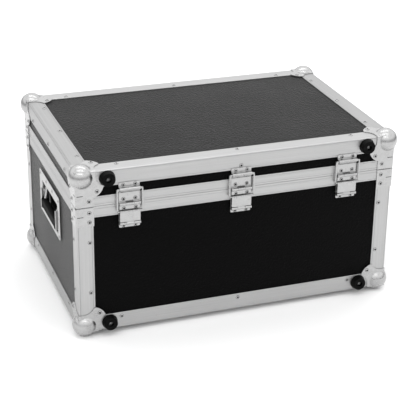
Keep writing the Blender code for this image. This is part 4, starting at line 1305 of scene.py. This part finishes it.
def handle_dish(low, high):
    """The pressed dish, with a wide flange above its recess, a lug beside each arm, and black painted shade deep
    in the recess between the arms.
    """
    loops = pan_loops(HANDLE_RECESS_HALF, HANDLE_RECESS_LOW, HANDLE_RECESS_HIGH, HANDLE_FLANGE,
                      HANDLE_RECESS_DEPTH)
    edge = (high.y - low.y) / 2
    for index, inset in enumerate((0.0, DISH_RIM_ROUND)):
        loops[index] = (edge - inset, low.z + inset, high.z - inset, HANDLE_RIM_CORNER - inset,
                        loops[index][-1])
    whole = pressed_pan(loops, DISH_SHEET)
    for end in (-1, 1):
        start, finish = span(end, ARM_Y + ARM_RADIUS + LUG_GAP, HANDLE_RECESS_HALF - LUG_WALL_GAP)
        lug = block((start, HANDLE_PIVOT_Z - LUG_DROP, -HANDLE_RECESS_DEPTH),
                    (finish, HANDLE_RECESS_HIGH - GAP, LUG_REACH - HANDLE_PIVOT_INSET), LUG_ROUND, 4)
        whole = merged(whole, lug)
    # Painted shade: the deep faces between the arms take the black second material.
    for face in whole.faces:
        centre = face.calc_center_median()
        if centre.z < -HANDLE_SHADE_DEPTH and abs(centre.x) < ARM_Y + ARM_RADIUS:
            face.material_index = 1
    return whole


def grip_sleeve():
    """The rubber sleeve: an oval bar with rounded ends and a shallow finger channel round it."""
    low = Vector((GRIP_PROUD - GRIP_THICKNESS, GRIP_LOW))
    high = Vector((GRIP_PROUD, GRIP_HIGH))
    bm = bmesh.new()
    rings = []
    stations = [(-share, shrink) for share, shrink in reversed(GRIP_STATIONS)] + [*GRIP_STATIONS]
    for share, shrink in stations:
        inset = Vector((shrink, shrink))
        outline = rounded_rectangle(low + inset, high - inset, GRIP_CORNER, 6)
        rings.append([bm.verts.new((share * GRIP_HALF_LENGTH, up, out)) for out, up in outline])
    for outer, inner in zip(rings, rings[1:]):
        bridge(bm, outer, inner)
    bm.faces.new(rings[0])
    bm.faces.new(rings[-1])
    return bm


def grip_bail():
    """The steel bail: a cheek on each end of the grip, cranked over to an arm and its pivot pin."""
    parts = []
    for end in (-1, 1):
        start, finish = span(end, CHEEK_Y, CHEEK_Y + CHEEK_SHEET)
        parts.append(block((start, GRIP_LOW + CHEEK_DROP, -CHEEK_INSET),
                           (finish, CHEEK_TOP_Z, CHEEK_PROUD), CHEEK_ROUND))
        start, finish = span(end, ARM_Y, CHEEK_Y)
        parts.append(block((start, CRANK_LOW_Z, -CRANK_INSET), (finish, CRANK_HIGH_Z, CRANK_PROUD),
                           CHEEK_ROUND))
        foot = Vector((end * ARM_Y, (GRIP_LOW + GRIP_HIGH) / 2, GRIP_PROUD - GRIP_THICKNESS / 2))
        top = Vector((end * ARM_Y, HANDLE_PIVOT_Z, -HANDLE_PIVOT_INSET))
        over = (top - foot).normalized() * BAIL_PIN_RADIUS
        parts.append(rod(foot, top + over, ARM_RADIUS, BAIL_SIDES, ARM_ROUND))
        inner = top - Vector((end * ARM_RADIUS * 0.9, 0, 0))
        outer = Vector((end * (HANDLE_RECESS_HALF - BAIL_PIN_GAP), top.y, top.z))
        parts.append(rod(inner, outer, BAIL_PIN_RADIUS, BAIL_SIDES, BAIL_PIN_ROUND))
    return merged(*parts)


def build_handles():
    """A dish, a bail and a grip in each end of the case."""
    for name, side in (("left", -1), ("right", 1)):
        node = f"handle_dish_{name}"
        low, high = shell_box(node)
        dish = add_piece(f"pressed_handle_dish_{name}", on_end(side, handle_dish(low, high)),
                         HANDLE_STEEL, node)
        dish.data.materials.append(PAINTED_RECESS_SHADE)
        grip = f"handle_grip_{name}"
        add_piece(f"grip_sleeve_{name}", on_end(side, grip_sleeve()), GRIP_RUBBER, grip)
        add_piece(f"grip_bail_{name}", on_end(side, grip_bail()), HANDLE_STEEL, grip)
        flange = (HANDLE_RECESS_HALF + high.y) / 2
        places = [(name, end * flange, z, PROUD) for end in (-1, 1) for z in HANDLE_RIVET_ZS]
        places += [(name, end * flange / 3, HANDLE_RIVET_ZS[-1], PROUD) for end in (-1, 1)]
        add_rivets(f"handle_rivets_{name}", places, node, **HANDLE_RIVET)


# Butterfly latches ------------------------------------------------------------------------
LATCH_FLANGE = 0.0075
LATCH_FLOOR_DEPTH = 0.0065
LATCH_PARTING_GAP = 0.0005
LATCH_RIVET = {"radius": 0.0026, "height": 0.0009, "hole": 0.0014}
LATCH_RIVET_LIFT = 0.0020
JOINT_PLACE = {joint["name"]: Vector(joint["pos_m"]) - ORIGIN for joint in frame["joints"]}
# The catch on the keeper, and the slot over it for the hook's nose
CATCH_TOP_Z = 0.2505
CATCH_HEIGHT = 0.0025
CATCH_HALF_WIDTH = 0.014
CATCH_FACE_DEPTH = 0.0056
CATCH_SLOT_GAP = 0.0010
CATCH_SLOT_HEIGHT = 0.0040
CATCH_SLOT_DEPTH = 0.0050
# The turning cam
CAM_RADIUS = 0.013
CAM_THICKNESS = 0.0017
CAM_FOOT_BREAK = 0.0003
CAM_BREAK = 0.0004
CAM_BOSS = ((0.0062, 0.0), (0.0056, 0.0006), (0.0030, 0.0009), (0.0, 0.0010))
CAM_LUG_HALF = 0.0050
CAM_LUG_REACH = 0.0016
CAM_LUG_START = 0.0010
CAM_LUG_PROUD = 0.0006
CAM_LUG_ROUND = 0.0009
# The folding wing
WING_HALF = 0.026
WING_SHEET = 0.0016
WING_DEPTH = 0.0002
WING_ROUND = 0.00035
WING_TOP = 0.0016
WING_LOBE = 0.011
WING_SHOULDER = 0.0035
WING_SHOULDER_DROP = 0.0040
WING_CUSP_HALF = 0.0040
WING_CUSP_FOOT = 0.0004
WING_CUSP_TIP = 0.0016
FINGER_X = 0.0155
FINGER_HALF = 0.0050
FINGER_LOW = 0.0070
FINGER_HIGH = 0.0150
FINGER_ROUND = 0.0038
WING_NOTCH_HALF = 0.0056
WING_NOTCH_DROP = 0.0026
WING_CUT = 0.0040
WING_PIN_LAP = 0.0010
# The hook
HOOK_HALF_WIDTH = 0.012
HOOK_SHEET = 0.0015
HOOK_THICKNESS = HOOK_SHEET * 0.85
HOOK_REACH = 0.027
HOOK_NOSE = 0.0022
HOOK_BEND = 0.0012
HOOK_ROLL = 0.0019
HOOK_BREAK = 0.00025
HOOK_OPEN_ANGLE = math.radians(14)
HOOK_PIN_RADIUS = 0.0012
HOOK_PIN_REACH = 0.0028
HOOK_PIN_ROUND = 0.0002
HOOK_EAR_RADIUS = 0.0023
HOOK_EAR_WIDTH = 0.0022
HOOK_EAR_X = 0.0127


def on_latch_face(x, bm):
    """Move a bmesh of (across, up, outward) points to the latch face at one x."""
    turn = Matrix(((-1, 0, 0, x), (0, 0, 1, DEPTH / 2), (0, 1, 0, 0), (0, 0, 0, 1)))
    return placed(bm, turn)


def latch_part(low, low_z, high_z):
    """The stretch between two heights of a latch's recess, which spans the base and the lid."""
    inner = DISH_SHEET
    pan = pressed_pan(pan_loops(LATCH_HALF_WIDTH - inner, low + inner, RIM_TOP_Z - GAP - inner,
                                LATCH_FLANGE + inner, LATCH_FLOOR_DEPTH), DISH_SHEET)
    far = FLANGE * 4
    return common(pan, block((-far, low_z, -far), (far, high_z, far)))


def hook_ears(pivot):
    """Two half-round ears on the dish floor that carry the ends of the hook's pin."""
    inset = DEPTH / 2 - pivot.y
    floor = -LATCH_FLOOR_DEPTH - GAP
    outline = arc((pivot.z, -inset), HOOK_EAR_RADIUS, 0, math.pi, 12)
    outline += [(pivot.z - HOOK_EAR_RADIUS, floor), (pivot.z + HOOK_EAR_RADIUS, floor)]
    return [prism([(across, up, out) for up, out in outline], (HOOK_EAR_WIDTH, 0, 0), HOOK_PIN_ROUND)
            for across in (-HOOK_EAR_X - HOOK_EAR_WIDTH, HOOK_EAR_X)]


def wing_flap(fold_z, low):
    """The wing: a flap with two lobes and finger holes, and a pin across the notch for the lug."""
    right = arc((WING_HALF - WING_LOBE, low + WING_LOBE), WING_LOBE, -math.pi / 2, 0)
    right.append((WING_HALF, fold_z - WING_SHOULDER_DROP))
    shoulder = (WING_HALF - WING_SHOULDER, fold_z + WING_TOP - WING_SHOULDER)
    right += arc(shoulder, WING_SHOULDER, 0, math.pi / 2, 5)
    cusp = [(-WING_CUSP_HALF, low + WING_CUSP_FOOT), (0, low + WING_CUSP_TIP),
            (WING_CUSP_HALF, low + WING_CUSP_FOOT)]
    outline = right + [(-across, up) for across, up in reversed(right)] + cusp
    bm = prism([(across, up, -WING_DEPTH) for across, up in outline], (0, 0, -WING_SHEET))
    for middle in (-FINGER_X, FINGER_X):
        hole = rounded_rectangle((middle - FINGER_HALF, low + FINGER_LOW),
                                 (middle + FINGER_HALF, low + FINGER_HIGH), FINGER_ROUND)
        bm = cut(bm, prism([(across, up, WING_CUT / 4) for across, up in hole],
                           (0, 0, -WING_CUT * 1.25)))
    bm = cut(bm, block((-WING_NOTCH_HALF, fold_z - WING_NOTCH_DROP, -WING_CUT),
                       (WING_NOTCH_HALF, fold_z + WING_CUT, WING_CUT / 2)))
    bm = bevelled(bm, WING_ROUND, 2, 60)
    reach = WING_NOTCH_HALF + WING_PIN_LAP
    middle = -WING_DEPTH - WING_SHEET / 2
    pin = rod((-reach, fold_z, middle), (reach, fold_z, middle), WING_SHEET / 2, 16)
    return merged(bm, pin)


def cam_disc(cam_z, fold_z):
    """The turning disc: a stepped boss with its rivet, and the lug that the wing folds on."""
    back = -LATCH_FLOOR_DEPTH + GAP
    top = back + CAM_THICKNESS
    profile = [(0, back), (CAM_RADIUS - CAM_FOOT_BREAK, back), (CAM_RADIUS, back + CAM_FOOT_BREAK),
               (CAM_RADIUS, top - CAM_BREAK), (CAM_RADIUS - CAM_BREAK, top)]
    profile += [(radius, top + lift) for radius, lift in CAM_BOSS]
    disc = placed(turned(profile, 48), Matrix.Translation((0, cam_z, 0)))
    lug = block((-CAM_LUG_HALF, fold_z - CAM_LUG_REACH, back + CAM_LUG_START),
                (CAM_LUG_HALF, fold_z + CAM_LUG_REACH, CAM_LUG_PROUD), CAM_LUG_ROUND, 4)
    return merged(disc, lug)


def latch_hook(pivot):
    """The hook: a bent strip with a rolled foot and a nose, tilted out as when it is open."""
    top = pivot.z + HOOK_REACH - HOOK_SHEET / 2
    bend = (pivot.y - HOOK_BEND, top - HOOK_BEND)
    line = [(pivot.y - HOOK_SHEET / 2 - HOOK_NOSE, top)]
    line += arc(bend, HOOK_BEND, math.pi / 2, 0, 5)
    line.append((pivot.y, pivot.z + HOOK_ROLL * 1.4))
    line += arc(pivot.yz, HOOK_ROLL, math.radians(60), math.radians(-195), 17)
    section = ribbon(line, HOOK_THICKNESS)
    half = HOOK_HALF_WIDTH
    strip = prism([(pivot.x - half, y, z) for y, z in section], (2 * half, 0, 0), HOOK_BREAK)
    reach = Vector((half + HOOK_PIN_REACH, 0, 0))
    pin = rod(pivot - reach, pivot + reach, HOOK_PIN_RADIUS, 16, HOOK_PIN_ROUND)
    centre = Matrix.Translation(pivot)
    tilt = centre @ Matrix.Rotation(-HOOK_OPEN_ANGLE, 4, "X") @ centre.inverted()
    return placed(merged(strip, pin), tilt)


def latch_keeper(recess_low):
    """The lid's stretch of the recess, with a catch for the hook and a slot for its nose."""
    keeper = latch_part(recess_low, PARTING_Z + LATCH_PARTING_GAP, HEIGHT)
    slot = HOOK_HALF_WIDTH + CATCH_SLOT_GAP
    keeper = cut(keeper, block((-slot, CATCH_TOP_Z, -2 * LATCH_FLOOR_DEPTH),
                               (slot, CATCH_TOP_Z + CATCH_SLOT_HEIGHT, -CATCH_SLOT_DEPTH)))
    catch = block((-CATCH_HALF_WIDTH, CATCH_TOP_Z - CATCH_HEIGHT, -LATCH_FLOOR_DEPTH - GAP),
                  (CATCH_HALF_WIDTH, CATCH_TOP_Z, -CATCH_FACE_DEPTH), EDGE_BREAK, 2)
    return merged(keeper, catch)


def build_latch(name):
    """One latch: dish, cam, wing and hook on the base, and the keeper on the lid."""
    low = shell_box(f"latch_dish_{name}")[0].z
    wing_low = shell_box(f"latch_wing_{name}")[0].z
    cam = JOINT_PLACE[f"latch_{name}_turn"]
    fold = JOINT_PLACE[f"latch_{name}_wing_fold"]
    hook = JOINT_PLACE[f"latch_{name}_hook_tilt"]
    recess_low = low + LATCH_FLANGE
    dish = latch_part(recess_low, low - GAP, PARTING_Z - LATCH_PARTING_GAP)
    for piece, node, bm in (("pressed_latch_dish", "latch_dish", merged(dish, *hook_ears(hook))),
                            ("pressed_keeper", "latch_keeper", latch_keeper(recess_low)),
                            ("turning_cam", "latch_cam", cam_disc(cam.z, fold.z)),
                            ("folding_wing", "latch_wing", wing_flap(fold.z, wing_low))):
        add_piece(f"{piece}_{name}", on_latch_face(cam.x, bm), LATCH_STEEL, f"{node}_{name}")
    add_piece(f"bent_hook_{name}", latch_hook(hook), LATCH_STEEL, f"latch_hook_{name}")
    flange = LATCH_FLANGE / 2
    for rivets, node, zs in (
            ("latch_dish_rivets", "latch_dish", (low + flange, cam.z + LATCH_RIVET_LIFT)),
            ("keeper_rivets", "latch_keeper", (RIM_TOP_Z - GAP + flange,))):
        places = [("latch", cam.x + end * (LATCH_HALF_WIDTH + flange), z, PROUD)
                  for end in (-1, 1) for z in zs]
        add_rivets(f"{rivets}_{name}", places, f"{node}_{name}", **LATCH_RIVET)


# Assembly ---------------------------------------------------------------------------------
for panel in ("base_bottom_panel", "base_hinge_panel", "base_latch_panel", "base_left_panel",
              "base_right_panel", "lid_top_panel", "lid_skirt"):
    build_panel(panel)
build_edge_frames()
build_posts()
build_rims()
build_ball_corners()
build_braces()
build_rivets()
build_feet()
build_hinges()
build_handles()
for latch in ("left", "right"):
    build_latch(latch)


# Stage ------------------------------------------------------------------------------------
FLOOR_RADIUS = 5.0
LIGHT_TARGET = (0, 0, 0.2)
STRIP_SIZE = (2.6, 0.30)
# Overhead strip lights: (distance towards the camera's side, height, power).
STRIPS = ((2.3, 2.4, 8), (0.70, 2.7, 8), (-0.95, 2.6, 10))
CAMERA_SIDE = Vector((-0.348, -0.938, 0))
CAMERA_PLACE = Vector((-0.7624, -2.1260, 1.1505))


def look_at(item, target):
    """Turn an object's -Z axis towards a point."""
    item.rotation_euler = (Vector(target) - item.location).to_track_quat("-Z", "Y").to_euler()


def add_light(name, location, target, size, power):
    """A soft rectangular light."""
    data = bpy.data.lights.new(name, "AREA")
    data.shape = "RECTANGLE"
    data.size, data.size_y = size
    data.energy = power
    light = bpy.data.objects.new(name, data)
    bpy.context.scene.collection.objects.link(light)
    light.location = location
    look_at(light, target)


def build_lights():
    """A row of soft strips over the case, from above the camera to behind the case."""
    for strip, (distance, height, power) in enumerate(STRIPS):
        place = CAMERA_SIDE * distance
        place.z = height
        add_light(f"strip_{strip}", place, LIGHT_TARGET, STRIP_SIZE, power)


def build_world():
    """Pale surroundings with a darker band at the horizon."""
    world = bpy.data.worlds.new("studio")
    world.use_nodes = True
    bpy.context.scene.world = world
    nodes = world.node_tree.nodes
    links = world.node_tree.links
    place = nodes.new("ShaderNodeTexCoord")
    split = nodes.new("ShaderNodeSeparateXYZ")
    ramp = nodes.new("ShaderNodeValToRGB")
    horizon, bright = ramp.color_ramp.elements
    horizon.position = 0.02
    horizon.color = (0.27, 0.27, 0.275, 1)
    bright.position = 0.34
    bright.color = (1.0, 1.0, 1.0, 1)
    zenith = ramp.color_ramp.elements.new(0.75)
    zenith.color = (0.90, 0.90, 0.90, 1)
    links.new(place.outputs["Generated"], split.inputs["Vector"])
    links.new(split.outputs["Z"], ramp.inputs["Fac"])
    links.new(ramp.outputs["Color"], nodes["Background"].inputs["Color"])
    nodes["Background"].inputs["Strength"].default_value = 1.54


def build_floor():
    """A pale floor under the lower ball corners, darker where it is far from the case as painted shade, standing
    for a dimmer room that the corners reflect.
    """
    bm = bmesh.new()
    bmesh.ops.create_circle(bm, cap_ends=True, segments=64, radius=FLOOR_RADIUS)
    floor = new_object("floor", bm)
    finish = Finish("pale_floor", (0.90, 0.90, 0.90), 0.8)
    length = finish.nodes.new("ShaderNodeVectorMath")
    length.operation = "LENGTH"
    finish.links.new(finish.place, length.inputs[0])
    share = finish.nodes.new("ShaderNodeMath")
    share.operation = "DIVIDE"
    share.inputs[1].default_value = FLOOR_RADIUS
    finish.links.new(length.outputs["Value"], share.inputs[0])
    # Painted shade: the floor's colour falls from pale near the case to dark grey far out.
    finish.drive("Base Color", finish.ramp(share.outputs["Value"], 0.33, 0.6, 0.90, 0.38))
    floor.data.materials.append(finish.material)


def build_camera():
    """The camera: a long lens to the left of the hinge face, looking down on the lid."""
    azimuth, elevation, roll = (math.radians(value) for value in (-20.34, 23.95, 1.05))
    back = Vector((math.sin(azimuth) * math.cos(elevation), -math.cos(azimuth) * math.cos(elevation),
                   math.sin(elevation)))
    right = Vector((math.cos(azimuth), math.sin(azimuth), 0))
    up = back.cross(right)
    turn = Matrix((right, up, back)).transposed().to_4x4()
    data = bpy.data.cameras.new("camera")
    data.lens = 114.5
    data.sensor_width = 36.0
    data.shift_x = -0.0369
    data.shift_y = -0.0161
    data.clip_end = 50.0
    camera = bpy.data.objects.new("camera", data)
    bpy.context.scene.collection.objects.link(camera)
    place = Matrix.Translation(ORIGIN + CAMERA_PLACE)
    camera.matrix_world = place @ turn @ Matrix.Rotation(roll, 4, "Z")
    bpy.context.scene.camera = camera


build_world()
build_floor()
build_camera()
build_lights()
bpy.context.scene.view_settings.view_transform = "Standard"
